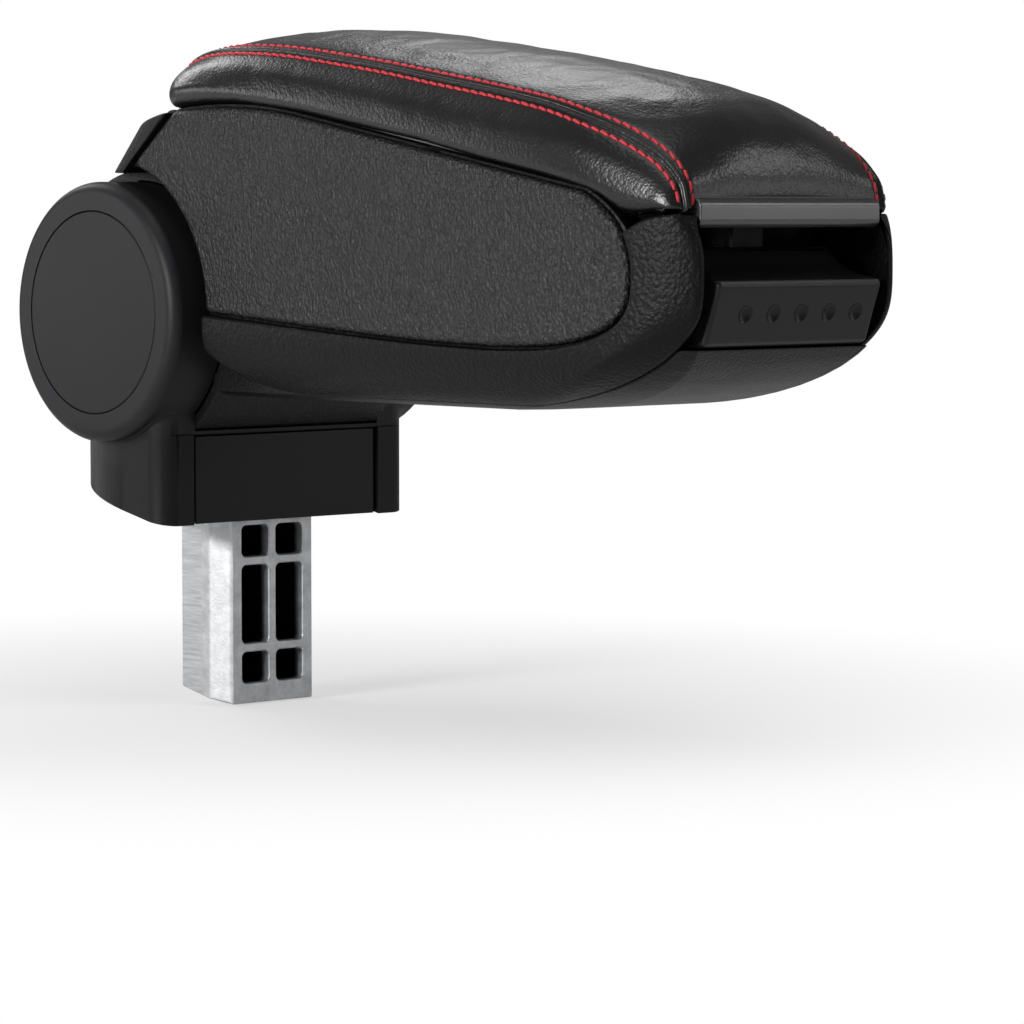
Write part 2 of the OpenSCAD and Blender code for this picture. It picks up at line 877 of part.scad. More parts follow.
// Hollow behind the tub's rear wall, where the lid's arms swing
module hinge_bay() {
    gap = knuckle_y + knuckle_w;
    for (y = [[-gap - knuckle_play, -knuckle_y + knuckle_play], [knuckle_y - knuckle_play, gap + knuckle_play]]) {
        across(y[0], y[1]) {
            translate([pin_x, pin_z]) circle(knuckle_r + knuckle_play);
            translate([pin_x, pin_z - knuckle_r - knuckle_play]) square([plate_x0 - pin_x + 14, 40]);
        }
    }
    across(-half_tub + tub_wall, half_tub - tub_wall) {
        translate([pin_x + knuckle_r + 6, drum_r + 6]) square([tub_rear - tub_wall - pin_x - knuckle_r - 6, 60]);
    }
}

module tub_mat() {
    color("#262627")
    at_hinge()
    translate([tub_rear + 0.5, -half_tub + tub_wall + 0.5, -arm_drop + tub_floor]) {
        cube([tub_front - bay_ramp - tub_rear - 1, 2 * (half_tub - tub_wall - 0.5), mat_t]);
    }
}

// Side view of the rear cover's skin, inset by t
module cover_view(t) {
    polygon(concat(
        curve([for (p = cover_back) p + t * cover_inner], 4),
        arc([pin_x, pin_z], nose_cover_r - t, cover_turn[0], cover_turn[1], 12),
        [[plate_x0, pin_z - 4], [joint_x1, joint_z1 - 3.5], [joint_x0, joint_z0]],
        [[joint_x0, cover_back[0][1] - 10], [cover_back[0][0] + 1, cover_back[0][1] - 10]]
    ));
}

module rear_cover() {
    color(charcoal)
    at_hinge()
    difference() {
        intersection() {
            across(-half_w, half_w) difference() {
                union() {
                    cover_view(0);
                    polygon([[joint_x0, joint_z0], [pin_x, pin_z], [pin_x + 6, pin_z + 6.6], [joint_x1, joint_z1]]);
                }
                translate([-far / 2, cover_low - far]) square(far);
            }
            rear_corners();
        }
        across(-far / 2, far / 2) difference() {
            translate([-far / 2, -far / 2]) square(far);
            joint_view(-joint_gap);
        }
        across(-half_tub - fit, half_tub + fit) union() {
            cover_view(cover_t);
            circle(drum_r + cover_clear, $fn = 128);
            translate([pin_x, pin_z]) circle(nose_cover_r - cover_t);
            polygon([[pin_x, pin_z + 5.6], [pin_x, pin_z - 30], [80, pin_z - 30], [80, pin_z + 5.6]]);
        }
        across(-far / 2, far / 2) above_rim(0.4);
        cover_slots();
    }
}

// Rounded rear corners of the arm
module rear_corners() {
    translate([cover_x, 0, cover_low]) rotate([0, cover_lean, 0]) translate([0, 0, -40]) linear_extrude(120) {
        translate([39, 0]) rounded_square(80, arm_w, cover_round);
    }
}

module cover_slots() {
    gap = knuckle_y + knuckle_w + knuckle_play;
    for (y = [[-gap, -knuckle_y + knuckle_play], [knuckle_y - knuckle_play, gap]]) {
        across(y[0], y[1]) {
            translate([pin_x - knuckle_r - knuckle_play, pin_z - slot_drop]) square(slot_size);
        }
    }
}

module shell_screws() {
    color("#8f9094")
    at_hinge()
    for (x = shell_screw_x, s = [-1, 1]) {
        translate([x, s * (half_tub - tub_wall), shell_screw_z]) outward(-s) {
            translate([0, 0, -shell_head_t - 0.1]) cylinder(d = shell_head_d, h = shell_head_t);
            translate([0, 0, -1]) cylinder(d = shell_screw_d, h = tub_wall + shell_bite);
        }
    }
}

module lid_pin() {
    color("#9b9ca0")
    at_hinge() translate([pin_x, 0, pin_z]) outward(right) {
        cylinder(r = pin_r, h = pin_len, center = true);
    }
}

// Side view of the lid plate
module lid_view() {
    polygon(concat(
        [for (i = [0:14]) let(x = plate_x0 + (plate_x1 - plate_x0) * i / 14) [x, under_lid(x)]],
        [for (i = [14:-1:0]) let(x = plate_x0 + (plate_x1 - plate_x0) * i / 14) [x, under_lid(x) + lid_t]]
    ));
}

module lid_plate() {
    color(black)
    at_hinge()
    difference() {
        union() {
            intersection() {
                across(-half_w, half_w) lid_view();
                translate([0, 0, -far / 2]) linear_extrude(far) polygon(concat(
                    [for (x = lid_steps) [x, -lid_y(x, lid_inset)]],
                    [for (i = [len(lid_steps) - 1:-1:0]) [lid_steps[i], lid_y(lid_steps[i], lid_inset)]]
                ));
            }
            across(-bar_w / 2, bar_w / 2) {
                translate([(bar_x0 + bar_x1) / 2, bar_top - bar_h / 2]) {
                    rounded_square(bar_x1 - bar_x0, bar_h, bar_round);
                }
            }
            for (s = [-1, 1]) {
                across(s * (knuckle_y + knuckle_w / 2) - knuckle_w / 2, s * (knuckle_y + knuckle_w / 2) + knuckle_w / 2) {
                    translate([pin_x, pin_z]) circle(knuckle_r);
                    polygon([
                        [pin_x, pin_z - knuckle_r], [plate_x0 + 6, rim_z(plate_x0 + 6) - 3.5],
                        [plate_x0 + 10, under_lid(plate_x0 + 10) + 1], [plate_x0, under_lid(plate_x0) + 1],
                        [pin_x + 5.5, pin_z + knuckle_r - 0.4], [pin_x, pin_z + knuckle_r]
                    ]);
                }
            }
        }
        translate([pin_x, 0, pin_z]) outward(right) cylinder(r = pin_r + pin_clear, h = far, center = true);
        at_striker_screws() translate([0, 0, -lid_t]) cylinder(d = striker_screw_d + 2 * fit, h = lid_t + striker_bite + fit);
    }
}

// Heights of the padding along the lid: share of its length, share of the seam's height, share of the crown's
pad_stations = [
    [0, 0.1, 0.08], [0.008, 0.22, 0.2], [0.03, 0.4, 0.37], [0.08, 0.63, 0.57], [0.17, 0.85, 0.785],
    [0.27, 0.95, 0.86], [0.42, 0.99, 0.945], [0.6, 0.98, 0.99], [0.75, 0.95, 1.01], [0.86, 0.86, 0.98],
    [0.93, 0.65, 0.87], [0.965, 0.44, 0.67], [0.988, 0.24, 0.42], [1, 0.12, 0.2]
];

// Height of the padding's lower edge at x, which hangs down at the front corners
function hem_z(x) =
    max(min(under_lid(x) + lid_t + pad_gap - pad_skirt, hem_bend_z - hem_fall * (x - arm_reach + hem_bend)), dip_z(x) + hem_gap);

// Ring of points round the padding at one station
function pad_ring(s) =
    let(
        x = pad_x0 + (pad_x1 - pad_x0) * s[0],
        low = under_lid(x) + lid_t + pad_gap,
        seam = low + seam_h * s[1],
        crown = low + crown_h * s[2],
        w = lid_y(x, 0),
        edge = w - lid_inset + 2 * pad_gap,
        ws = w - seam_in,
        hem = hem_z(x),
        half = [
            [edge - 0.5, low], [edge, hem], [w - 1, hem], [w, low + 0.45 * (seam - low)],
            [w - 1.2, low + 0.8 * (seam - low)], [ws, seam], [0.82 * ws, seam + 0.36 * (crown - seam)],
            [0.55 * ws, seam + 0.72 * (crown - seam)], [0.28 * ws, seam + 0.93 * (crown - seam)], [0, crown]
        ]
    )
    concat([for (p = half) [x, p[0], p[1]]], [for (i = [8:-1:0]) [x, -half[i][0], half[i][1]]]);

// Solid through a list of rings that all have the same number of points
module loft(rings) {
    m = len(rings[0]);
    n = len(rings);
    points = [for (r = rings) each r];
    sides = [for (i = [0:n - 2], j = [0:m - 1]) each [
        [i * m + j, (i + 1) * m + j, (i + 1) * m + (j + 1) % m],
        [i * m + j, (i + 1) * m + (j + 1) % m, i * m + (j + 1) % m]
    ]];
    ends = [[for (j = [0:m - 1]) j], [for (j = [m - 1:-1:0]) (n - 1) * m + j]];
    polyhedron(points = points, faces = concat(sides, ends), convexity = 4);
}

module lid_pad() {
    color("#19191b")
    at_hinge() loft([for (s = curve(pad_stations, 2)) pad_ring(s)]);
}

// Striker: a flange under the lid plate, and a hook that the latch's catch holds
module striker() {
    x0 = latch_back + hook_t + striker_gap;
    x1 = x0 + hook_nose;
    x2 = x1 + striker_t;
    low = hook_top - hook_h - striker_gap;
    color("#3c3d40")
    at_hinge()
    difference() {
        union() {
            across(-striker_w / 2, striker_w / 2) {
                polygon([
                    [x1, low - hook_drop], [x2, low - hook_drop], [x2, under_lid(x2)], [x1, under_lid(x1)], [x1, low],
                    [x0, low], [x0, low - 1]
                ]);
            }
            across(-flange_w / 2, flange_w / 2) {
                polygon([
                    [flange_x, under_lid(flange_x)], [x2, under_lid(x2)], [x2, under_lid(x2) - striker_t],
                    [flange_x, under_lid(flange_x) - striker_t]
                ]);
            }
        }
        at_striker_screws() cylinder(d = striker_screw_d + 2 * fit, h = 4 * striker_t, center = true);
    }
}

// Place of each striker screw, on the lid plate's underside and square to it
module at_striker_screws() {
    x = (flange_x + latch_back + hook_t) / 2;
    for (s = [-1, 1]) {
        translate([x, s * (flange_w / 2 - striker_screw_in), under_lid(x)]) rotate([0, rim_slope, 0]) children();
    }
}

module striker_screws() {
    color("#8f9094")
    at_hinge() at_striker_screws() {
        translate([0, 0, -striker_t - striker_head_t]) cylinder(d = striker_head_d, h = striker_head_t);
        translate([0, 0, -striker_t - 0.1]) cylinder(d = striker_screw_d, h = striker_t + striker_bite + 0.1);
    }
}

// Place of each rubber stop, at the bottom of its hole in the tub's rim
module at_bumpers() {
    for (s = [-1, 1]) {
        translate([bay_x - tub_wall / 2, s * (half_tub - bumper_in), rim_z(bay_x - tub_wall / 2) - bumper_sink]) children();
    }
}

module lid_bumpers() {
    color("#151516")
    at_hinge() at_bumpers() cylinder(d = bumper_d, h = bumper_sink + bumper_up);
}

// Side view of the latch button
module latch_view() {
    difference() {
        polygon([
            [latch_back, -bay_floor + latch_floor_gap + 0.8], [latch_back, latch_crest], [latch_back + 12, latch_crest],
            [latch_face, latch_top], [latch_face - latch_lean, latch_low],
            [latch_face - latch_lean - 2, -bay_floor + latch_floor_gap], [latch_back + 1, -bay_floor + latch_floor_gap]
        ]);
        translate([latch_face + 1, latch_top + scoop_r + 0.6]) circle(scoop_r, $fn = 96);
    }
}

// Front view of the latch button, with a hollow curve down from the crest at each end
module latch_ends() {
    w = latch_w / 2;
    drop = latch_crest - latch_top - 1;
    polygon(concat(
        [[-w - 1, -bay_floor - 1], [w + 1, -bay_floor - 1], [w + 1, latch_crest - drop]],
        [for (i = [8:-1:0]) [w - latch_notch * cos(i * 90 / 8), latch_crest - drop * sin(i * 90 / 8)]],
        [[w - latch_notch, latch_crest + 1], [-w + latch_notch, latch_crest + 1]],
        [for (i = [0:8]) [-w + latch_notch * cos(i * 90 / 8), latch_crest - drop * sin(i * 90 / 8)]],
        [[-w - 1, latch_crest - drop]]
    ));
}

// Side view of the pocket that the striker enters, with the catch at its rear wall
module catch_view() {
    x0 = latch_back + hook_t;
    difference() {
        translate([x0, hook_top - 10]) square([hook_nose + striker_gap + striker_t + striker_room, 20]);
        polygon([[x0, hook_top], [x0 + hook_nose, hook_top - hook_h], [x0, hook_top - hook_h]]);
    }
}

module latch_button() {
    color("#2b2b2c")
    at_hinge()
    difference() {
        intersection() {
            across(-latch_w / 2, latch_w / 2) latch_view();
            along(bay_x, arm_reach) latch_ends();
        }
        across(-striker_w / 2 - 1, striker_w / 2 + 1) catch_view();
        for (i = [0:dimple_n - 1]) {
            y = dimple_off + (i - (dimple_n - 1) / 2) * dimple_pitch;
            translate([latch_face - latch_lean / 2, y, (latch_top + latch_low) / 2]) {
                rotate([0, 90 + atan(latch_lean / thumb_h), 0]) {
                    translate([0, 0, dimple_r - dimple_depth]) sphere(dimple_r);
                }
            }
        }
    }
}

// One turn of wire follows the next along x
module coil_spring(r, wire, turns, length) {
    steps = 12;
    rings = [for (i = [0:turns * steps])
        let(w = i * 360 / steps, x = wire / 2 + (length - wire) * i / (turns * steps))
        [for (k = [5:-1:0]) let(v = k * 60) [
            x + wire / 2 * sin(v), (r - wire / 2 + wire / 2 * cos(v)) * cos(w), (r - wire / 2 + wire / 2 * cos(v)) * sin(w)
        ]]];
    loft(rings);
}

module latch_springs() {
    color("#b5b6ba")
    at_hinge()
    for (s = [-1, 1]) {
        translate([bay_x + 0.1, s * spring_y, 4]) coil_spring(spring_d / 2, spring_wire, spring_turns, spring_len);
    }
}

hinge_fork();
front_plate();
stem();
stem_screws();
hinge_axle();
axle_nut();
bush(right);  // bush_right
bush(left);  // bush_left
stop_pegs();
cap(right);  // cap_right
cap(left);  // cap_left
tub();
tub_mat();
side_shell(right);  // side_shell_right
side_shell(left);  // side_shell_left
side_panel(right);  // side_panel_right
side_panel(left);  // side_panel_left
rear_cover();
shell_screws();
lid_pin();
lid_plate();
lid_pad();
striker();
striker_screws();
lid_bumpers();
latch_button();
latch_springs();
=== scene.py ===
"""Looks of a folding car centre armrest: stitched leather lid, grained shells, satin hinge and cast stem."""
import json
import math
import bmesh
import bpy
import numpy as np
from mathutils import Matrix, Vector


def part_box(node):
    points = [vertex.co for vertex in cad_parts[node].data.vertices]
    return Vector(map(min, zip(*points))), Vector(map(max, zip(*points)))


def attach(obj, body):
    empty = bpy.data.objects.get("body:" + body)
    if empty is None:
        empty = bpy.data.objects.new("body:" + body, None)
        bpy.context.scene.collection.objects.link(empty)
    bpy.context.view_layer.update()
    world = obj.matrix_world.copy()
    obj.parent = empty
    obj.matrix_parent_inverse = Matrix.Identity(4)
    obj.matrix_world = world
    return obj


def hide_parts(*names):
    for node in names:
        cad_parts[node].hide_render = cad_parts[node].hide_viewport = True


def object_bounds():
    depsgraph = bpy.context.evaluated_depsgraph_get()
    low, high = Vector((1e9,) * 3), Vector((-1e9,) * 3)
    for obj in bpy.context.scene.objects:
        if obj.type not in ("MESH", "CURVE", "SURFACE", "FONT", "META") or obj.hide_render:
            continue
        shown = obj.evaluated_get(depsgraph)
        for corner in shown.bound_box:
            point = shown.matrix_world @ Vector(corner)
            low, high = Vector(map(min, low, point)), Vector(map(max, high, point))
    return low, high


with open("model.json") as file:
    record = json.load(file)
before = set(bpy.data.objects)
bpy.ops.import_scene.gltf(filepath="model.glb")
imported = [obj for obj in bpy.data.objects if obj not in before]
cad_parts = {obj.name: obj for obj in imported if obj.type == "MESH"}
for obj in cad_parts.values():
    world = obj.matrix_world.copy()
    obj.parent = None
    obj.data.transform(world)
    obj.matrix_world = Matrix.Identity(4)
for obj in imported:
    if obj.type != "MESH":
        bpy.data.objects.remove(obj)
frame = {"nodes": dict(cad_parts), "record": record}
cad_low, cad_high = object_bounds()
scene = bpy.context.scene
nodes = frame["nodes"]
record = frame["record"]

# Camera
# A long lens stands in front of the arm on its right side, a little above the hinge,
# and looks slightly down, so that the latch end points to the right of the picture.
camera_place = (1.0401, -0.8554, 0.0936)
camera_turn = 47.0
camera_tilt = 4.1
lens_mm = 147.66
sensor_mm = 36.0
near_clip = 0.05

camera_data = bpy.data.cameras.new("studio_camera")
camera_data.lens = lens_mm
camera_data.sensor_width = sensor_mm
camera_data.sensor_fit = "HORIZONTAL"
camera_data.clip_start = near_clip
camera = bpy.data.objects.new("studio_camera", camera_data)
camera.location = camera_place
camera.rotation_euler = (math.radians(90 - camera_tilt), 0, math.radians(camera_turn))
scene.collection.objects.link(camera)
scene.camera = camera
scene.view_settings.view_transform = "Standard"

# Floor
# A pale paper floor under the stem that keeps the object's soft shadow and fades to a white sweep.
# Rays from the camera, and a share of those from glossy surfaces, see the sweep as plain white.
floor_size = 12.0
floor_drop = 0.0005
floor_colour = "#f4f4f3"
white = "#ffffff"
near_glow = 0.55
shadow_start, shadow_end = 0.10, 0.34
mirror_share = 0.12
room_colour = "#8d8f92"
room_level = 0.35


def linear(colour):
    """A hex colour as linear red, green, blue and 1: each channel c becomes ((c + 0.055) / 1.055) to the 2.4,
    or c / 12.92 where it is under 0.04045."""
    c = np.array([int(colour[i:i + 2], 16) / 255 for i in (1, 3, 5)])
    value = np.where(c < 0.04045, c / 12.92, ((c + 0.055) / 1.055) ** 2.4)
    return (*value.tolist(), 1.0)


def add(tree, kind, values=None, links=None, **settings):
    """Adds a shader node of that kind, sets its properties and its sockets' values, and links its sockets to
    other nodes' outputs."""
    node = tree.nodes.new("ShaderNode" + kind)
    for name, value in settings.items():
        setattr(node, name, value)
    for name, value in (values or {}).items():
        node.inputs[name].default_value = value
    for name, source in (links or {}).items():
        tree.links.new(source, node.inputs[name])
    return node


def new_material(name):
    """An empty node material and its tree."""
    material = bpy.data.materials.new(name)
    material.use_nodes = True
    material.node_tree.nodes.clear()
    return material, material.node_tree


def white_rays(tree):
    """How far a ray sees the sweep as white: 1 from the camera or through glass, a share of 1 off a gloss."""
    path = add(tree, "LightPath")
    gloss = add(tree, "Math", {1: mirror_share}, {0: path.outputs["Is Glossy Ray"]}, operation="MULTIPLY")
    direct, through = path.outputs["Is Camera Ray"], path.outputs["Is Transmission Ray"]
    seen = add(tree, "Math", None, {0: direct, 1: through}, operation="MAXIMUM")
    return add(tree, "Math", None, {0: seen.outputs[0], 1: gloss.outputs[0]}, operation="MAXIMUM").outputs[0]


def paper_floor():
    """White paper: matt, with an even glow whose share rises from near_glow at the stem to 1 where the soft
    shadow ends."""
    material, tree = new_material("white_paper")
    place = add(tree, "TexCoord").outputs["Object"]
    reach = add(tree, "VectorMath", None, {0: place}, operation="LENGTH")
    spread = add(tree, "MapRange",
                 {"From Min": shadow_start, "From Max": shadow_end, "To Min": near_glow, "To Max": 1.0},
                 {"Value": reach.outputs["Value"]}, interpolation_type="SMOOTHSTEP")
    share = add(tree, "Math", None, {0: spread.outputs[0], 1: white_rays(tree)}, operation="MULTIPLY")
    matt = add(tree, "BsdfDiffuse", {"Color": linear(floor_colour)})
    glow = add(tree, "Emission", {"Color": linear(white), "Strength": 1.0})
    mix = add(tree, "MixShader", None, {0: share.outputs[0], 1: matt.outputs[0], 2: glow.outputs[0]})
    add(tree, "OutputMaterial", None, {"Surface": mix.outputs[0]})
    return material


floor_mesh = bpy.data.meshes.new("paper_floor")
half = floor_size / 2
floor_z = cad_low.z - floor_drop
floor_corners = [(half * x, half * y, floor_z) for x, y in ((-1, -1), (1, -1), (1, 1), (-1, 1))]
floor_mesh.from_pydata(floor_corners, [], [(0, 1, 2, 3)])
floor_mesh.materials.append(paper_floor())
floor = bpy.data.objects.new("paper_floor", floor_mesh)
scene.collection.objects.link(floor)

world = bpy.data.worlds.new("studio")
scene.world = world
world.use_nodes = True
world.node_tree.nodes.clear()
room = add(world.node_tree, "Background", {"Color": linear(room_colour), "Strength": room_level})
sweep = add(world.node_tree, "Background", {"Color": linear(white), "Strength": 1.0})
backdrop = add(world.node_tree, "MixShader", None,
               {0: white_rays(world.node_tree), 1: room.outputs[0], 2: sweep.outputs[0]})
add(world.node_tree, "OutputWorld", None, {"Surface": backdrop.outputs[0]})

# Lamps
# Soft boxes: a low one on the left for the panel and the cap, one in front for the lid's corner, one at the
# left rear for its rear corner, one behind for its sheen, one at the latch's end with a small one above it
# for the bar, and a large plain one overhead.
aim = Vector((0.09, 0.0, 0.08))
soft_boxes = (
    ("left_box", (-0.52, -0.42, 0.15), (0.22, 0.22), 0.62),
    ("front_box", (0.16, -1.25, 0.34), (0.40, 0.16), 12.0),
    ("rear_left_box", (-1.05, 0.00, 0.78), (0.35, 0.35), 3.0),
    ("back_box", (-0.70, 0.80, 0.97), (0.36, 0.25), 1.4),
    ("right_box", (1.15, 0.95, 0.26), (0.4, 0.4), 1.1),
    ("bar_box", (0.76, 0.72, 0.60), (0.20, 0.18), 0.7),
    ("top_box", (0.25, -0.25, 1.35), (0.9, 0.9), 4.5),
)
for name, place, size, watts in soft_boxes:
    lamp = bpy.data.lights.new(name, "AREA")
    lamp.shape = "RECTANGLE"
    lamp.size, lamp.size_y = size
    lamp.energy = watts
    box = bpy.data.objects.new(name, lamp)
    box.location = place
    box.rotation_euler = (aim - Vector(place)).to_track_quat("-Z", "Y").to_euler()
    scene.collection.objects.link(box)

# Hinge fork
# One moulding of black ABS: the collar, the neck and the two round cheeks, spark-eroded to a satin finish.
# Below the cheeks the collar's colour is painted darker, as painted shade.
body_of = {name: body for body, names in record["behaviour"]["bodies"].items() for name in names}
merge_distance = 1e-6
flat_angle = math.radians(0.6)
sharp_angle = math.radians(28)
bevel_share = 0.45
bevel_steps = 3
# Colour of the front plate, also used as the painted shade on the collar below the cheeks
plate_and_collar_shade_colour = "#0e0e0f"
cheek_colour = "#1c1c1e"
# Heights over which the collar's painted shade fades into the cheeks' colour
shade_fade_heights = (0.020, 0.030)
satin_grit = 0.0006
satin_depth, polished_depth, pressed_depth = 0.00003, 0.00001, 0.00002
satin_cloud = 22.0
satin_spread = (-0.04, 0.05)
plastic_ior = 1.5


def softened(node, width, material, new_name):
    """Makes a merged copy of a CAD node with its sharp edges rounded, which stands for the node. The
    rounding's width at an edge is the given one, or a share of the shortest plain edge that it meets; with no
    width edges stay crisp."""
    mesh = nodes[node].data.copy()
    shape = bmesh.new()
    shape.from_mesh(mesh)
    bmesh.ops.remove_doubles(shape, verts=shape.verts, dist=merge_distance)
    bmesh.ops.dissolve_limit(shape, angle_limit=flat_angle, verts=shape.verts, edges=shape.edges)
    layer = shape.edges.layers.float.new("bevel_weight_edge")
    sharp = {e for e in shape.edges if len(e.link_faces) == 2 and e.calc_face_angle() > sharp_angle}
    for edge in sharp if width else ():
        plain = [e.calc_length() for v in edge.verts for e in v.link_edges if e not in sharp]
        edge[layer] = min(1.0, bevel_share * min(plain, default=1.0) / width)
    shape.to_mesh(mesh)
    shape.free()
    mesh.name = new_name
    mesh.materials.clear()
    mesh.materials.append(material)
    mesh.polygons.foreach_set("use_smooth", np.ones(len(mesh.polygons), bool))
    copy = bpy.data.objects.new(new_name, mesh)
    scene.collection.objects.link(copy)
    if width:
        round_off = copy.modifiers.new("rounded_edges", "BEVEL")
        round_off.width = width
        round_off.segments = bevel_steps
        round_off.limit_method = "WEIGHT"
        round_off.use_clamp_overlap = False
    else:
        mesh.set_sharp_from_angle(angle=sharp_angle)
    even = copy.modifiers.new("even_shading", "WEIGHTED_NORMAL")
    even.mode = "FACE_AREA"
    even.keep_sharp = not width
    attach(copy, body_of[node])
    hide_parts(node)


def satin_abs(name, colour, roughness, grit, depth, level=0.22, painted_shade_colour=None):
    """Spark-eroded ABS: a fine even grit that spreads the light into a soft satin sheen. With a shade colour
    the part below the fade heights is painted darker, as painted shade."""
    material, tree = new_material(name)
    place = add(tree, "TexCoord").outputs["Object"]
    fine = add(tree, "TexNoise", {"Scale": 1 / grit, "Detail": 3.0, "Roughness": 0.6},
               {"Vector": place})
    grain = add(tree, "Bump", {"Strength": 1.0, "Distance": depth}, {"Height": fine.outputs["Fac"]})
    cloud = add(tree, "TexNoise", {"Scale": satin_cloud, "Detail": 3.0}, {"Vector": place})
    low, high = roughness + satin_spread[0], roughness + satin_spread[1]
    gloss = add(tree, "MapRange", {"To Min": low, "To Max": high}, {"Value": cloud.outputs["Fac"]})
    plastic = add(tree, "BsdfPrincipled",
                  {"Base Color": linear(colour), "IOR": plastic_ior, "Specular IOR Level": level},
                  {"Normal": grain.outputs[0], "Roughness": gloss.outputs[0]})
    # Painted shade: below the fade heights the colour darkens
    if painted_shade_colour:
        height = add(tree, "SeparateXYZ", None, {0: place})
        rise = add(tree, "MapRange", {"From Min": shade_fade_heights[0], "From Max": shade_fade_heights[1]},
                   {"Value": height.outputs["Z"]}, interpolation_type="SMOOTHSTEP")
        shade = add(tree, "MixRGB", {1: linear(painted_shade_colour), 2: linear(colour)}, {0: rise.outputs[0]})
        tree.links.new(shade.outputs[0], plastic.inputs["Base Color"])
    add(tree, "OutputMaterial", None, {"Surface": plastic.outputs[0]})
    return material


# The collar below the cheeks gets painted shade
fork_abs = satin_abs("fork_abs", cheek_colour, 0.46, satin_grit, satin_depth, painted_shade_colour=plate_and_collar_shade_colour)
softened("hinge_fork", 0, fork_abs, "moulded_fork")

# Front plate and cheek caps
# The plate between the posts is polished black ABS in the colour of the collar's painted shade. The round
# caps are satin ABS and snap into the cheeks, and their crisp edge catches the light in the groove.
cap_colour = "#1f1f21"
cap_level = 0.17
plate_edge, cap_edge = 0.0003, 0.0004

plate_abs = satin_abs("polished_black_abs", plate_and_collar_shade_colour, 0.36, satin_grit, polished_depth)
cap_abs = satin_abs("satin_cap_abs", cap_colour, 0.44, satin_grit, satin_depth, cap_level)
softened("front_plate", plate_edge, plate_abs, "moulded_front_plate")
for end in ("right", "left"):
    softened("cap_" + end, cap_edge, cap_abs, "moulded_cap_" + end)

# Stem
# Die-cast aluminium with a raised frame round two columns of windows. Its side faces are milled at the rear,
# which leaves fine level lines, and keep the frosted skin of the casting at the front.
stem_colour = "#d6d7d9"
cast_shade = "#b4b5b7"
# Painted shade inside the stem's windows
window_painted_shade = "#1b1b1c"
frost_grain, blotch_size = 0.0007, 0.006
mill_pitch, mill_stretch = 0.0009, 14
cast_relief = 0.00009
tone_range = (0.35, 0.65)
stem_roughness = (0.42, 0.62)
stem_metallic = 0.85
stem_edge = 0.0006
mill_start, mill_end = 0.0005, -0.0015
window_half_width = 0.0131
window_depths = (0.0088, 0.0062)
window_back = -0.0072
window_low = -0.0578


def cast_aluminium():
    """Die-cast aluminium: a frosted skin with fine grains and dull blotches. Milling lines cross the rear of
    it, and the insides of the windows are painted dark, as painted shade that deepens into the recesses."""
    material, tree = new_material("die_cast_aluminium")
    place = add(tree, "TexCoord").outputs["Object"]
    axes = add(tree, "SeparateXYZ", None, {0: place})
    frost = add(tree, "TexNoise", {"Scale": 1 / frost_grain, "Detail": 4.0, "Roughness": 0.65},
                {"Vector": place})
    blotch = add(tree, "TexNoise", {"Scale": 1 / blotch_size, "Detail": 5.0, "Roughness": 0.7},
                 {"Vector": place})
    drawn = add(tree, "Mapping", {"Scale": (1, 1, mill_stretch)}, {"Vector": place})
    lines = add(tree, "TexNoise",
                {"Scale": 1 / (mill_pitch * mill_stretch), "Detail": 4.0, "Roughness": 0.7},
                {"Vector": drawn.outputs[0]})
    milled = add(tree, "MapRange", {"From Min": mill_start, "From Max": mill_end},
                 {"Value": axes.outputs["X"]}, interpolation_type="SMOOTHSTEP")
    relief = add(tree, "MixRGB", None,
                 {0: milled.outputs[0], 1: frost.outputs["Fac"], 2: lines.outputs["Fac"]})
    bump = add(tree, "Bump", {"Strength": 1.0, "Distance": cast_relief}, {"Height": relief.outputs[0]})
    tone = add(tree, "MixRGB", None,
               {0: milled.outputs[0], 1: blotch.outputs["Fac"], 2: lines.outputs["Fac"]})
    share = add(tree, "MapRange", {"From Min": tone_range[0], "From Max": tone_range[1]},
                {"Value": tone.outputs[0]})
    metal_tone = add(tree, "MixRGB", {1: linear(cast_shade), 2: linear(stem_colour)}, {0: share.outputs[0]})
    across = add(tree, "Math", None, {0: axes.outputs["Y"]}, operation="ABSOLUTE")
    inside = add(tree, "Math", {1: window_half_width}, {0: across.outputs[0]}, operation="LESS_THAN")
    deep = add(tree, "MapRange", {"From Min": window_depths[0], "From Max": window_depths[1]},
               {"Value": axes.outputs["X"]}, interpolation_type="SMOOTHSTEP")
    ahead = add(tree, "Math", {1: window_back}, {0: axes.outputs["X"]}, operation="GREATER_THAN")
    above = add(tree, "Math", {1: window_low}, {0: axes.outputs["Z"]}, operation="GREATER_THAN")
    # Painted shade: inside the windows the colour turns dark, more so deeper in
    window_shade_mask = inside.outputs[0]
    for limit in (deep, ahead, above):
        window_shade_mask = add(tree, "Math", None, {0: window_shade_mask, 1: limit.outputs[0]}, operation="MULTIPLY").outputs[0]
    colour = add(tree, "MixRGB", {2: linear(window_painted_shade)}, {0: window_shade_mask, 1: metal_tone.outputs[0]})
    gloss = add(tree, "MapRange", {"To Min": stem_roughness[0], "To Max": stem_roughness[1]},
                {"Value": blotch.outputs["Fac"]})
    metal = add(tree, "BsdfPrincipled", {"Metallic": stem_metallic},
                {"Base Color": colour.outputs[0], "Roughness": gloss.outputs[0], "Normal": bump.outputs[0]})
    add(tree, "OutputMaterial", None, {"Surface": metal.outputs[0]})
    return material


softened("stem", stem_edge, cast_aluminium(), "cast_stem")

# Axle, pins, pegs, nut, screws and springs
# Turned and cold-formed steel with a bright zinc coat, pressed or screwed into the mouldings.
# The coat is grey with a faint cloudiness, and the turning leaves a fine tooth.
zinc_colour = "#b9bbbe"
coat_cloud = 120.0
coat_spread = 0.08


def finish(material, *names):
    """Gives a material to CAD nodes that keep their own shape."""
    for name in names:
        for place in nodes[name].material_slots:
            place.link = "OBJECT"
            place.material = material


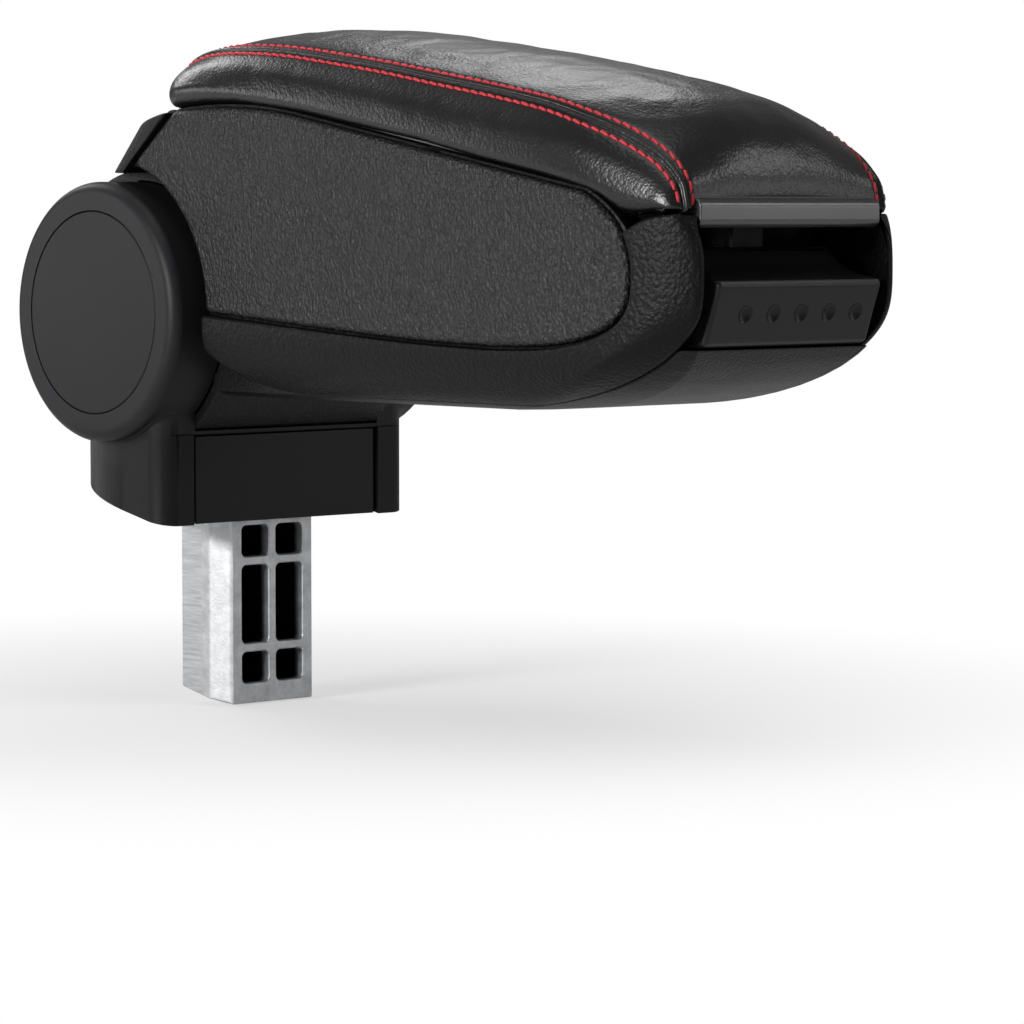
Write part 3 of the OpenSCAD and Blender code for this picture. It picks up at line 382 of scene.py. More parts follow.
def coated(name, colour, metallic, roughness, grit, depth):
    """A coated or moulded small part: cloudy roughness over a fine grit."""
    material, tree = new_material(name)
    place = add(tree, "TexCoord").outputs["Object"]
    fine = add(tree, "TexNoise", {"Scale": 1 / grit, "Detail": 3.0}, {"Vector": place})
    grain = add(tree, "Bump", {"Strength": 1.0, "Distance": depth}, {"Height": fine.outputs["Fac"]})
    cloud = add(tree, "TexNoise", {"Scale": coat_cloud, "Detail": 4.0}, {"Vector": place})
    gloss = add(tree, "MapRange", {"To Min": roughness - coat_spread, "To Max": roughness + coat_spread},
                {"Value": cloud.outputs["Fac"]})
    surface = add(tree, "BsdfPrincipled", {"Base Color": linear(colour), "Metallic": metallic},
                  {"Normal": grain.outputs[0], "Roughness": gloss.outputs[0]})
    add(tree, "OutputMaterial", None, {"Surface": surface.outputs[0]})
    return material


zinc = coated("zinc_plated_steel", zinc_colour, metallic=1.0, roughness=0.34, grit=0.0005, depth=0.00001)
finish(zinc, "hinge_axle", "axle_nut", "stop_pegs", "stem_screws", "shell_screws", "lid_pin",
       "striker_screws", "latch_springs")

# Bushes
# Flanged bearings of natural acetal, pressed into the cheeks. They are cream and waxy.
acetal_colour = "#d9d4c4"
acetal = coated("natural_acetal", acetal_colour, metallic=0.0, roughness=0.42, grit=0.0008, depth=0.00001)
finish(acetal, "bush_right", "bush_left")

# Striker
# Pressed steel with a black coat, screwed under the lid plate. The coat is even and half matt, and its
# colour is darker than the coat alone, as painted shade in the bay under the bar.
# Black coat darkened further as painted shade in the bay
striker_coat_and_shade_colour = "#060606"
black_coat_and_shade = coated("black_coated_steel_and_shade", striker_coat_and_shade_colour, metallic=0.0, roughness=0.7, grit=0.0005,
                    depth=0.00002)
finish(black_coat_and_shade, "striker")

# Mat and stops
# Moulded black rubber: the mat lies on the tub's floor and the stops are pressed into its rim.
# It is matt, and grey where the light grazes it.
rubber_colour = "#19191a"
rubber = coated("moulded_rubber", rubber_colour, metallic=0.0, roughness=0.78, grit=0.0006, depth=0.00005)
finish(rubber, "tub_mat", "lid_bumpers")

# Tub
# The storage tub with the hinge drum, moulded in one piece from ABS with a leather grain. It is the arm's
# core, and its belly, its drum and the latch bay show.
tub_colour = "#131314"
mm = 0.001
grain_turn = (0.2, 0.35, 0.1)
grain_round = 0.55
warp_per_cell, fine_per_cell = 0.6, 2.6
fine_share = 0.3
sheen_cloud = 28.0
sheen_spread = (-0.05, 0.06)
tub_edge = 0.0004


def grained_abs(name, colour, cell, depth, roughness, stretch=(1, 1, 1), level=0.2):
    """Moulded ABS with a leather grain: cells of the given size in metres, rounded and broken by noise, which
    the eye sees as a soft sparkle under a soft box."""
    material, tree = new_material(name)
    place = add(tree, "TexCoord").outputs["Object"]
    turned = add(tree, "Mapping", {"Scale": stretch, "Rotation": grain_turn},
                 {"Vector": place})
    warp = add(tree, "TexNoise", {"Scale": warp_per_cell / cell, "Detail": 3.0},
               {"Vector": turned.outputs[0]})
    moved = add(tree, "MixRGB", {0: cell}, {1: turned.outputs[0], 2: warp.outputs["Color"]},
                blend_type="ADD")
    cells = add(tree, "TexVoronoi", {"Scale": 1 / cell, "Smoothness": grain_round},
                {"Vector": moved.outputs[0]}, feature="SMOOTH_F1")
    fine = add(tree, "TexNoise", {"Scale": fine_per_cell / cell, "Detail": 2.0},
               {"Vector": turned.outputs[0]})
    height = add(tree, "MixRGB", {0: fine_share}, {1: cells.outputs["Distance"], 2: fine.outputs["Fac"]})
    grain = add(tree, "Bump", {"Strength": 1.0, "Distance": depth}, {"Height": height.outputs[0]},
                invert=True)
    wide = add(tree, "TexNoise", {"Scale": sheen_cloud, "Detail": 2.0}, {"Vector": place})
    low, high = roughness + sheen_spread[0], roughness + sheen_spread[1]
    gloss = add(tree, "MapRange", {"To Min": low, "To Max": high}, {"Value": wide.outputs["Fac"]})
    plastic = add(tree, "BsdfPrincipled",
                  {"Base Color": linear(colour), "IOR": plastic_ior, "Specular IOR Level": level},
                  {"Normal": grain.outputs[0], "Roughness": gloss.outputs[0]})
    add(tree, "OutputMaterial", None, {"Surface": plastic.outputs[0]})
    return material


tub_abs = grained_abs("fine_grained_abs", tub_colour, cell=0.0010, depth=0.00026, roughness=0.42)
softened("tub", tub_edge, tub_abs, "moulded_tub")

# Rear cover
# A thin curved strip of the same grained ABS, clipped on behind the lid.
# Its edges are rounded where it meets the shells and the drum.
strip_edge = 0.0006
softened("rear_cover", strip_edge, tub_abs, "moulded_rear_cover")

# Side shells
# Two thick moulded shells of grained ABS wrap the tub's sides, its lower edges and its front corners.
# Each is screwed on from inside the tub, and stops at the circle that the arm swings on.
# The shells, the panels and the lid's cover are worked out in millimetres from the hinge.
hinge = Vector(next(j for j in record["behaviour"]["joints"] if j["name"] == "arm_swing")["pos_m"])
shell_low, shell_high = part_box("side_shell_left")
half_width = shell_high.y / mm
half_tub = shell_low.y / mm
tub_drop = 25.5
belly_round = 22.0
nose_start, nose_height, nose_reach, nose_power = 150.0, 14.0, 98.4, 2.8
plan_reach, plan_power = 110.9, 4.0
roll_turn, roll_centre, roll_reach, roll_drop, roll_power = math.radians(47), 120.0, 78.5, 40.0, 2.3
nose_rise, nose_steepness = 35.0, 4.0
least_width = 5.0
blend_power = 26.0
swing_radius = 47.0
rim_front, rim_slope, rim_end = 31.2, math.tan(math.radians(10.5)), 246.0
rim_bend, rim_radius = 90.0, 200.0
joint_low, joint_high = np.array([10.5, 45.8]), np.array([31.6, 62.4])
shell_colour = "#111112"
shell_corner = 0.9
panel_heel, panel_drop = 0.6, 6.8
panel_points = ((92, 2.6), (137, 5.5))
panel_centre, panel_reach = 172.0, 55.7
panel_front_power, panel_top_power, panel_top_turn = 3, 2.2, 84
low_count, front_count, upper_count = 80, 60, 160
panel_gap = 0.8
rim_gap = 0.4
recess_depth, recess_margin, recess_corner = 3.3, 0.6, 0.2
recess_columns, recess_rows = 60, 24
square_turn = math.pi / 2


def rim_height(x):
    """Height of the tub's rim above the hinge: a straight slope, less the square of the distance behind the
    bend over twice the bend's radius."""
    return rim_front + rim_slope * (rim_end - x) - np.maximum(0, rim_bend - x) ** 2 / (2 * rim_radius)


def super_arc(share, power):
    """Height of a unit superellipse at a share of its other half axis:
    (1 - share to the power) to the 1 / power."""
    return np.maximum(1 - np.clip(share, 0, 1) ** power, 0) ** (1 / power)


def skin(x, z):
    """Half width of the arm at x and z from the hinge, in millimetres: a smooth least value of four limits,
    none wider than the full half width. They are the plan's superellipse, the round of the belly, the roll of
    the lower corner on the diagonal, and a steep wall at the nose of the side view. The smooth least value is
    the sum of the limits to the -p, less three times the full half width to the -p, all to the -1 / p."""
    drop = np.maximum(nose_height - z, 0)
    plan = half_width * super_arc((x - nose_start) / plan_reach, plan_power)
    deep = np.clip(-tub_drop + belly_round - z, 0, belly_round)
    section = half_width - belly_round + np.sqrt(belly_round ** 2 - deep ** 2)
    reach = roll_centre + roll_reach * super_arc(drop / roll_drop, roll_power)
    roll = (reach - x * math.cos(roll_turn)) / math.sin(roll_turn)
    rise = np.where(z < nose_height, drop / (nose_height + tub_drop), (z - nose_height) / nose_rise)
    nose = half_tub + nose_steepness * (nose_start + nose_reach * super_arc(rise, nose_power) - x)
    limits = np.clip(np.stack([plan, section, roll, nose]), least_width, half_width)
    total = (limits ** -blend_power).sum(0) - (len(limits) - 1) * half_width ** -blend_power
    return total ** (-1 / blend_power)


def rounded(centre, reach, rise, power, start, stop, count):
    """Points on a superellipse: the centre plus each half axis times the cosine or sine to the 2 / power."""
    w = np.radians(np.linspace(start, stop, count))
    c, s = np.cos(w), np.sin(w)
    x = centre[0] + reach * np.sign(c) * np.abs(c) ** (2 / power)
    z = centre[1] + rise * np.sign(s) * np.abs(s) ** (2 / power)
    return np.stack([x, z], 1)


def distances(line):
    """Distance of each point of a line from its first point, along the line."""
    return np.r_[0, np.cumsum(np.linalg.norm(np.diff(line, axis=0), axis=1))]


def spaced(line, count):
    """The same line with count points at even steps of its length."""
    line = np.asarray(line, float)
    length = distances(line)
    at = np.linspace(0, length[-1], count)
    return np.stack([np.interp(at, length, line[:, k]) for k in range(line.shape[1])], 1)


def smooth_line(points, count, steps=12):
    """A smooth line through a few points: a Catmull-Rom curve, then spaced evenly."""
    p = np.asarray(points, float)
    p = np.vstack([2 * p[0] - p[1], p, 2 * p[-1] - p[-2]])
    t = np.linspace(0, 1, steps, endpoint=False)[:, None]
    parts = []
    for a, b, c, d in zip(p[:-3], p[1:-2], p[2:-1], p[3:]):
        parts.append(0.5 * (2 * b + (c - a) * t + (2 * a - 5 * b + 4 * c - d) * t ** 2
                            + (3 * b - a - 3 * c + d) * t ** 3))
    return spaced(np.vstack(parts + [p[-2:-1]]), count)


def filled(low, high, near, beyond, share=None):
    """A grid of points inside four border lines: the sum of the two ruled surfaces less the bilinear one. The
    share says how far across from low to high each column lies."""
    u = np.linspace(0, 1, len(low))[:, None, None]
    v = (np.linspace(0, 1, len(near)) if share is None else share)[None, :, None]
    ruled_v = low[:, None] * (1 - v) + high[:, None] * v
    ruled_u = near[None] * (1 - u) + beyond[None] * u
    corners = (low[0] * (1 - u) * (1 - v) + low[-1] * u * (1 - v) + high[0] * (1 - u) * v + high[-1] * u * v)
    return ruled_v + ruled_u - corners


def border(rows, columns):
    """Indexes of a grid's border points, in order round it."""
    index = np.arange(rows * columns).reshape(rows, columns)
    return np.concatenate([index[:-1, 0], index[-1, :-1], index[:0:-1, -1], index[0, :0:-1]])


def outward(loop):
    """Unit normals of a closed loop of points, to the right of its direction."""
    along = np.roll(loop, -1, 0) - np.roll(loop, 1, 0)
    along /= np.linalg.norm(along, axis=1, keepdims=True)
    return np.stack([along[:, 1], -along[:, 0]], 1)


def quads(rows, columns):
    """Corner indexes of the faces of a grid of points."""
    i, j = np.meshgrid(np.arange(rows - 1), np.arange(columns - 1), indexing="ij")
    a = (i * columns + j).ravel()
    return np.stack([a, a + columns, a + columns + 1, a + 1], 1)


slope_step, steepest, least_turn = 0.3, 8, 0.02


def strip(first, second):
    """Corner indexes of the faces between two closed rings of points."""
    return np.stack([first, second, np.roll(second, -1), np.roll(first, -1)], 1)


def plate(flat, depth, back, corner, last_turn, steps=7):
    """A closed plate over a grid of points in the side view. Its face lies depth under the arm's skin. Its
    border is an arc of radius corner that starts at the skin's own slope and ends at last_turn, or where it
    meets the half width of the plate's back."""
    rows, columns = flat.shape[:2]
    flat = flat.reshape(-1, 2)
    face = np.column_stack([flat[:, 0], skin(flat[:, 0], flat[:, 1]) - depth, flat[:, 1]])
    ring = border(rows, columns)
    edge = flat[ring]
    side = outward(edge)
    corner = np.broadcast_to(np.asarray(corner, float), len(ring))
    last_turn = np.broadcast_to(np.asarray(last_turn, float), len(ring))
    back_ring = back(edge[:, 0], edge[:, 1])
    before = edge - slope_step * side
    slope = (skin(before[:, 0], before[:, 1]) - skin(edge[:, 0], edge[:, 1])) / slope_step
    start = np.arctan(np.clip(slope, 0, steepest))
    meets = np.arccos(np.clip(np.cos(start) - (face[ring, 1] - back_ring) / corner, -1, 1))
    stop = np.maximum(np.minimum(last_turn, meets), start + least_turn)
    points, faces = [face], [quads(rows, columns)]
    last, size = ring, len(face)
    for share in np.linspace(0, 1, steps + 1)[1:]:
        turn = start + (stop - start) * share
        at = edge + side * (corner * (np.sin(turn) - np.sin(start)))[:, None]
        height = face[ring, 1] - corner * (np.cos(start) - np.cos(turn))
        points.append(np.column_stack([at[:, 0], height, at[:, 1]]))
        fresh = size + np.arange(len(ring))
        faces.append(strip(last, fresh))
        last, size = fresh, size + len(ring)
    points.append(np.column_stack([at[:, 0], np.minimum(back_ring, height), at[:, 1]]))
    fresh = size + np.arange(len(ring))
    faces.append(strip(last, fresh))
    last, size = fresh, size + len(ring)
    inner = np.column_stack([flat[:, 0], back(flat[:, 0], flat[:, 1]), flat[:, 1]])
    points.append(inner)
    faces.append(quads(rows, columns)[:, ::-1] + size)
    faces.append(strip(last, ring + size))
    return np.vstack(points), np.vstack(faces)[:, ::-1]


def make_piece(name, points, faces, material, body, slot, *replaced):
    """A smooth mesh object from points in millimetres from the hinge, with its material and its place."""
    mesh = bpy.data.meshes.new(name)
    mesh.from_pydata((np.asarray(points) * mm + np.array(hinge)).tolist(), [], np.asarray(faces).tolist())
    mesh.polygons.foreach_set("use_smooth", np.ones(len(mesh.polygons), bool))
    mesh.materials.append(material)
    mesh.update()
    piece = bpy.data.objects.new(name, mesh)
    scene.collection.objects.link(piece)
    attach(piece, body)
    if replaced:
        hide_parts(*replaced)
    return piece


def sided(points, faces, side):
    """The same part on one side of the arm: +1 keeps it on the left, -1 mirrors it to the right."""
    return points * np.array([1, side, 1]), faces if side > 0 else faces[:, ::-1]


search_start, search_end, halvings = 20.0, 99.0, 40
straight_down = -90


def level_line(angles, level):
    """Points where the skin's half width falls to a level, along rays from the nose's centre or, behind it,
    straight down. Each is found by halving the stretch between a wide and a narrow point."""
    behind = np.minimum(angles - straight_down, 0)
    start = np.column_stack([nose_start + behind, np.full(len(angles), nose_height)])
    turn = np.radians(np.maximum(angles, straight_down))
    ray = np.column_stack([np.cos(turn), np.sin(turn)])
    near_end, far_end = np.full(len(angles), search_start), np.full(len(angles), search_end)
    for _ in range(halvings):
        middle = (near_end + far_end) / 2
        at = start + ray * middle[:, None]
        wide = skin(at[:, 0], at[:, 1]) > level
        near_end, far_end = np.where(wide, middle, near_end), np.where(wide, far_end, middle)
    return start + ray * near_end[:, None]


def panel_border(grow):
    """Lower edge and nose of the side panel's outline, grown by a distance: a smooth line forward from the
    drum, then two quarter superellipses up to the rim."""
    foot = panel_heel - grow
    heel = np.array([math.sqrt((swing_radius - min(grow, 0)) ** 2 - foot ** 2), foot])
    bottom = [(x, -drop - grow) for x, drop in (*panel_points, (panel_centre, panel_drop))]
    low = smooth_line([heel, *bottom], low_count)
    fall = nose_height + panel_drop
    rise = rim_height(panel_centre) - nose_height - rim_gap
    centre = (panel_centre, nose_height)
    front = rounded(centre, panel_reach + grow, fall + grow, panel_front_power, -90, 0, front_count)
    upper = rounded(centre, panel_reach + grow, rise + grow, panel_top_power, 0, panel_top_turn, upper_count)
    return low, front, upper


along_heel, along_belly, along_nose, across_band = 14, 56, 90, 26
along_recess, along_ridge = 60, 200
heel_points = ((46.9, -9.9), (54.7, -15.5), (63.8, -20.3), (72, -22.6))
ridge_points = ((244.0, 30.3), (240.0, 29.7), (233.0, 28.5))
ridge_foot = 25.4
belly_end, nose_end, front_start, front_fade = -160, 9.5, -45, 35
hem_margin, front_margin = 1.0, 1.4
heel_corner, belly_corner, front_corner, drum_corner, ridge_drop = (3.0, 0.9), 0.8, 1.3, 1.0, 0.9
hem_turn = 2.8
band_spacing = 1.5


def shell_grid():
    """The shell's visible band, from its outer border under the belly and round the nose to the border of the
    panel's recess, and the radius of its border's rounding at each point of the ring."""
    heel = smooth_line(heel_points, along_heel)
    angles = np.concatenate([np.linspace(belly_end, straight_down, along_belly),
                             np.linspace(straight_down, nose_end, along_nose + 1)[1:]])
    front = np.clip((angles - front_start) / front_fade, 0, 1)
    level = half_tub + hem_margin + front_margin * front
    outer = np.vstack([heel, level_line(angles, level)])
    outer_corner = np.r_[np.linspace(*heel_corner, along_heel), belly_corner + front_corner * front]
    count = len(outer)
    outer_length = distances(outer)
    even = np.linspace(0, outer_length[-1], count)
    outer_corner = np.interp(even, outer_length, outer_corner)
    outer = spaced(outer, count)
    low, nose, top = panel_border(panel_gap + shell_corner)
    top = top[top[:, 1] < ridge_foot]
    inner = np.vstack([spaced(low, along_recess)[:-1],
                       spaced(np.vstack([nose, top[1:]]), count - along_recess + 1)])
    share = np.linspace(0, 1, across_band) ** band_spacing
    turn_out, turn_in = math.atan2(outer[0, 1], outer[0, 0]), math.atan2(inner[0, 1], inner[0, 0])
    arc = turn_out + (turn_in - turn_out) * share
    radius = np.hypot(*outer[0]) + (np.hypot(*inner[0]) - np.hypot(*outer[0])) * share
    near = radius[:, None] * np.stack([np.cos(arc), np.sin(arc)], 1)
    ridge = smooth_line([outer[-1], *ridge_points, inner[-1]], along_ridge)
    length = distances(ridge)
    ridge = np.stack([np.interp(share * length[-1], length, ridge[:, k]) for k in range(2)], 1)
    face = filled(outer, inner, near, ridge, share)
    corner = np.concatenate([outer_corner[:-1], np.full(across_band - 1, ridge_drop),
                             np.full(count - 1, shell_corner), np.full(across_band - 1, drum_corner)])
    turn = np.concatenate([np.full(count - 1, hem_turn), np.full(2 * across_band + count - 3, square_turn)])
    return face, corner, turn


joint_gap, joint_steps, rim_steps = 0.3, np.linspace(-10, 40, 2001), 600
rim_search, end_margin = 235, 0.3


def panel_grid(shrink, columns=160, rows=60):
    """The side panel's face: its lower edge and its nose, the tub's rim with the rear joint, and the drum."""
    low, front, upper = panel_border(-shrink)
    slope = (joint_high - joint_low) / np.linalg.norm(joint_high - joint_low)
    start = joint_low + (shrink + joint_gap) * np.array([slope[1], -slope[0]])
    joint = start + slope * joint_steps[:, None]
    clear = np.hypot(joint[:, 0], joint[:, 1]) > swing_radius + shrink
    joint = joint[clear & (joint[:, 1] < rim_height(joint[:, 0]) - rim_gap - shrink)]
    rim_x = np.linspace(joint[-1, 0], rim_search, rim_steps)[1:]
    rim = np.stack([rim_x, rim_height(rim_x) - rim_gap - shrink], 1)
    upper = upper[upper[:, 1] < rim_height(upper[:, 0]) - rim_gap - shrink]
    rim = np.vstack([rim[rim[:, 0] < upper[-1, 0] - end_margin], upper[-1:]])
    arc = np.linspace(math.atan2(low[0, 1], low[0, 0]), math.atan2(joint[0, 1], joint[0, 0]), rows)
    drum = np.hypot(*low[0]) * np.stack([np.cos(arc), np.sin(arc)], 1)
    drum[-1] = joint[0]
    nose = np.vstack([front, upper[1:]])
    return filled(spaced(low, columns), spaced(np.vstack([joint, rim]), columns), drum, spaced(nose, rows))


def tub_side(x, z):
    """Half width of the tub's flat side."""
    return np.full_like(x, half_tub)


shell_abs = grained_abs("leather_grained_abs", shell_colour, cell=0.0012, depth=0.00032, roughness=0.40,
                        level=0.14)
band, band_corner, band_turn = shell_grid()
recess = panel_grid(-recess_margin, recess_columns, recess_rows)
for side, name in ((1, "left"), (-1, "right")):
    band_points, band_faces = plate(band, 0, tub_side, band_corner, band_turn)
    floor_points, floor_faces = plate(recess, recess_depth, tub_side, recess_corner, square_turn, 2)
    points = np.vstack([band_points, floor_points])
    faces = np.vstack([band_faces, floor_faces + len(band_points)])
    make_piece("moulded_shell_" + name, *sided(points, faces, side), shell_abs, "arm", "grained_plastic",
               "side_shell_" + name)

# Side panels
# A thin moulded panel with a coarse pebbled grain is clipped into each shell's recess, a little below its
# face. Its edges are well rounded, and a narrow shadow gap runs round it.
panel_inset, panel_thick, panel_corner = 0.8, 2.4, 1.9
panel_colour = "#171719"
pebbled = grained_abs("pebbled_abs", panel_colour, cell=0.0011, depth=0.00080, roughness=0.30,
                      stretch=(1.2, 1, 0.85), level=0.35)


def panel_back(x, z):
    """Half width at the back of the side panel."""
    return skin(x, z) - panel_inset - panel_thick


panel = plate(panel_grid(panel_corner), panel_inset, panel_back, panel_corner, square_turn)
for side, name in ((1, "left"), (-1, "right")):
    make_piece("pebbled_panel_" + name, *sided(*panel, side), pebbled, "arm", "pebbled_plastic",
               "side_panel_" + name)

# Lid plate with the pull bar
# Satin black ABS, moulded with the bar across its front.
# The bar's rounded top catches a line of light.
bar_colour = "#303032"
bar_level = 1.0
bar_edge = 0.0004
bar_abs = satin_abs("satin_bar_abs", bar_colour, 0.30, satin_grit, pressed_depth, bar_level)
softened("lid_plate", bar_edge, bar_abs, "moulded_lid_plate")

# Lid cover
# Foam under a sewn cover of black leatherette: a crowned top and a side band on each side, joined by a felled
# seam. The hem is drawn under the lid plate and stapled there, so the lower edge is tight and round. Each row
# is the crown x z, the seam x y z and the widest line x y z, in millimetres from the hinge.
cover_rows = np.array([
    (19.5, 67.2, 20.8, 36.5, 67.1, 23.6, 40.5, 66.4),
    (19.3, 71.0, 20.9, 36.6, 70.4, 25.2, 44.6, 67.1),
    (20.2, 75.8, 22.2, 36.9, 73.4, 28.0, 48.3, 68.0),
    (23.2, 78.8, 24.8, 37.4, 75.8, 33.0, 50.3, 68.8),
    (28.5, 81.4, 28.8, 38.4, 77.8, 40.0, 50.9, 69.2),
    (38.0, 84.3, 36.5, 40.0, 79.6, 49.0, 51.0, 69.1),
    (52.0, 86.9, 48.0, 42.2, 80.6, 60.0, 51.0, 68.2),
    (66.0, 87.7, 62.0, 43.2, 80.5, 74.0, 51.0, 66.8),
    (84.0, 87.0, 80.0, 43.4, 79.2, 92.6, 51.0, 64.4),
    (104.0, 85.0, 100.0, 43.5, 76.7, 112.0, 51.0, 60.9),
    (126.0, 82.0, 122.0, 43.6, 73.7, 133.6, 51.0, 56.9),
    (150.0, 78.7, 146.0, 43.7, 69.8, 156.0, 51.0, 52.9),
    (174.0, 74.7, 170.0, 43.8, 65.9, 180.0, 50.9, 48.5),
    (196.0, 70.6, 191.0, 43.9, 62.1, 198.5, 50.3, 44.9),
    (212.5, 66.8, 206.0, 43.8, 58.2, 210.0, 49.5, 42.0),
    (224.5, 62.8, 217.0, 42.6, 54.6, 218.0, 48.6, 39.6),
    (232.5, 58.2, 226.0, 41.3, 50.8, 224.5, 47.6, 37.6),
    (237.6, 52.6, 233.4, 40.5, 47.0, 229.5, 46.7, 36.3),
    (240.9, 46.4, 238.4, 40.0, 43.0, 233.0, 46.0, 35.4),
    (242.5, 41.6, 241.6, 39.9, 39.2, 235.6, 45.5, 34.8),
    (243.0, 38.0, 242.9, 39.9, 34.8, 237.6, 45.0, 34.0),
    (243.0, 35.6, 243.2, 39.9, 32.2, 239.2, 44.4, 32.9),
])
hem_line = np.array([(20, 63.5), (28.2, 62.9), (34.3, 63.6), (46.5, 64.3), (60.9, 64.2), (76.5, 62.5),
                     (94, 60.3), (119.7, 55.9), (144.7, 51.7), (168.9, 46.6), (192.8, 42.1), (204.4, 39.5),
                     (213, 37.2), (217.2, 35.4), (220.4, 33.2), (223.6, 31.4), (227, 30.8), (232, 30.9),
                     (237.8, 31.4), (243.7, 31.9)])
seam_offsets = np.array([0, 0.35, 0.7, 1.05, 1.4, 1.8, 2.2, 2.6, 3.1, 3.7, 4.5, 5.6])
ridge_rise, ridge_half = 0.55, 0.75
groove_depth, groove_at, groove_half = 0.55, 1.15, 0.55
row_depth, row_at, row_half = 0.35, 2.6, 0.8
row_count = 330
crown_columns, band_columns, hem_columns = 22, 10, 7
short_top, short_band = 30, 9.5
square_fall, fourth_fall = 0.55, 0.45
band_bulge, bulge_power = 0.12, 1.2
outer_side = np.array([0.3, 1.0, 0.2])
hem_tuck, hem_lip, hem_lift = 3.0, 0.5, 0.2
plate_top = 3.9
far_off = 50.0
rear_roll = ((3.6, 0, -1.3), (1.2, 0, -0.8), (0.4, 0, -0.4))
front_roll = ((-0.3, 0, -0.5), (-1.0, 0, -0.9), (-3.5, 0, -0.6))
cover_depth = 0.3


def unit(a):
    """Vectors of length one."""
    return a / np.maximum(np.linalg.norm(a, axis=-1, keepdims=True), 1e-9)


def cover_lines(count):
    """The crown, seam and widest lines with count points each, from smooth lines through the rows."""
    table = smooth_line(cover_rows, count, 40)
    crown = np.column_stack([table[:, 0], np.zeros(count), table[:, 1]])
    return crown, table[:, 2:5], table[:, 5:8]


def cover_grid(count):
    """Half of the cover as a grid from the crown's middle to the hem's inner edge, with each column's signed
    distance from the seam. Across the top the height falls by a share of t squared and the rest of t to the
    fourth. The side band is a straight line from the seam to the widest line, bulged by a sine. The hem is a
    quarter ellipse under it."""
    crown, seam, wide = cover_lines(count)
    top_length = np.linalg.norm(seam - crown, axis=1)
    band_length = np.linalg.norm(wide - seam, axis=1)
    top_fit = np.minimum(1, top_length / short_top)[:, None]
    t_far = np.linspace(0, 1, crown_columns)[None] * (1 - seam_offsets[-1] * top_fit / top_length[:, None])
    t_near = 1 - seam_offsets[:0:-1][None] * top_fit / top_length[:, None]
    t = np.hstack([t_far[:, :-1], t_near, np.ones((count, 1))])[..., None]
    fall = square_fall * t ** 2 + fourth_fall * t ** 4
    top = crown[:, None] + (seam - crown)[:, None] * fall
    top[..., 1] = seam[:, 1:2] * t[..., 0]
    band_fit = np.minimum(1, band_length / short_band)[:, None]
    u_near = seam_offsets[None, 1:] * band_fit / band_length[:, None]
    u_far = u_near[:, -1:] + (1 - u_near[:, -1:]) * np.linspace(0, 1, band_columns + 1)[None, 1:]
    u = np.hstack([u_near, u_far])[..., None]
    chord = wide - seam
    along = unit(np.gradient(seam, axis=0) + np.gradient(wide, axis=0))
    out = unit(np.cross(along, chord))
    out *= np.sign((out * outer_side).sum(1, keepdims=True))
    bulge = band_bulge * band_length[:, None, None] * np.sin(math.pi * u ** bulge_power)
    side = seam[:, None] + chord[:, None] * u + out[:, None] * bulge
    hem_z = np.interp(wide[:, 0], hem_line[:, 0], hem_line[:, 1])
    plan = unit(np.column_stack([np.gradient(wide[:, 0]), np.gradient(wide[:, 1])]))
    level = np.column_stack([-plan[:, 1], plan[:, 0], np.zeros(count)])
    w = np.linspace(0, math.pi / 2, hem_columns + 1)[None, 1:, None]
    tuck = hem_tuck * level[:, None] * (np.cos(w) - 1)
    sink = (wide[:, 2] - hem_z)[:, None, None] * np.sin(w)
    hem = wide[:, None] + tuck - sink * np.array([0, 0, 1.0])
    inner = hem[:, -1:] - hem_lip * level[:, None]
    raised = inner.copy()
    raised[..., 2] = np.maximum(rim_height(raised[..., 0]) + plate_top, inner[..., 2] + hem_lift)
    distance = np.concatenate([np.full(crown_columns - 1, -far_off), -seam_offsets[:0:-1], [0.0],
                               seam_offsets[1:], np.full(band_columns + hem_columns + 2, far_off)])
    return np.concatenate([top, side, hem, inner, raised], 1), distance


def whole_cover(count):
    """Both halves of the cover as one grid from the left hem to the right hem, with the front and rear edges
    rolled under, and the signed distances of its columns from their seam."""
    right_half, distance = cover_grid(count)
    left_half = right_half[:, :0:-1] * np.array([1, -1, 1])
    grid = np.concatenate([left_half, right_half], 1)
    distance = np.concatenate([distance[:0:-1], distance])
    rear = [grid[:1] + np.array(step) for step in rear_roll]
    front = [grid[-1:] + np.array(step) for step in front_roll]
    return np.concatenate(rear + [grid] + front), distance


def grid_normals(grid):
    """Unit normals of a grid of points from the cross product of its two gradients."""
    return unit(np.cross(np.gradient(grid, axis=0), np.gradient(grid, axis=1)))


def dome(x, centre, half_size):
    """A smooth bump of height one: (1 - ((x - centre) / half_size) squared) squared, zero outside it."""
    return np.maximum(1 - ((x - centre) / half_size) ** 2, 0) ** 2


def closed_cover(grid):
    """The grid as a closed mesh: a second grid under it, level with the lid plate, shares the points of its
    border."""
    rows, columns = grid.shape[:2]
    across = np.linspace(0, 1, columns)[None, :, None]
    under = grid[:, :1] * (1 - across) + grid[:, -1:] * across
    under[..., 2] = np.minimum(under[..., 2], grid[..., 2] - cover_depth)
    index = np.arange(rows * columns).reshape(rows, columns)
    lower = index + rows * columns
    lower[:, 0], lower[:, -1], lower[0], lower[-1] = index[:, 0], index[:, -1], index[0], index[-1]
    corner = quads(rows, columns)
    points = np.vstack([grid.reshape(-1, 3), under.reshape(-1, 3)])
    return points, np.vstack([corner, lower.ravel()[corner][:, ::-1]])


def nearest(points, line, block=4000):
    """Distance of each point from the nearest point of a line."""
    parts = [points[i:i + block] for i in range(0, len(points), block)]
    return np.concatenate([np.linalg.norm(part[:, None] - line[None], axis=2).min(1) for part in parts])


cushion_voxel, cushion_frames, cushion_quality = 5.0, 20, 6
cushion_pressure = 4.0
leather_mass, leather_stretch, leather_bend = 0.003, 1.0, 0.2
held_reach, held_height = 4.5, 1.5
shift_cap = 6.0
least_shift = 1e-6


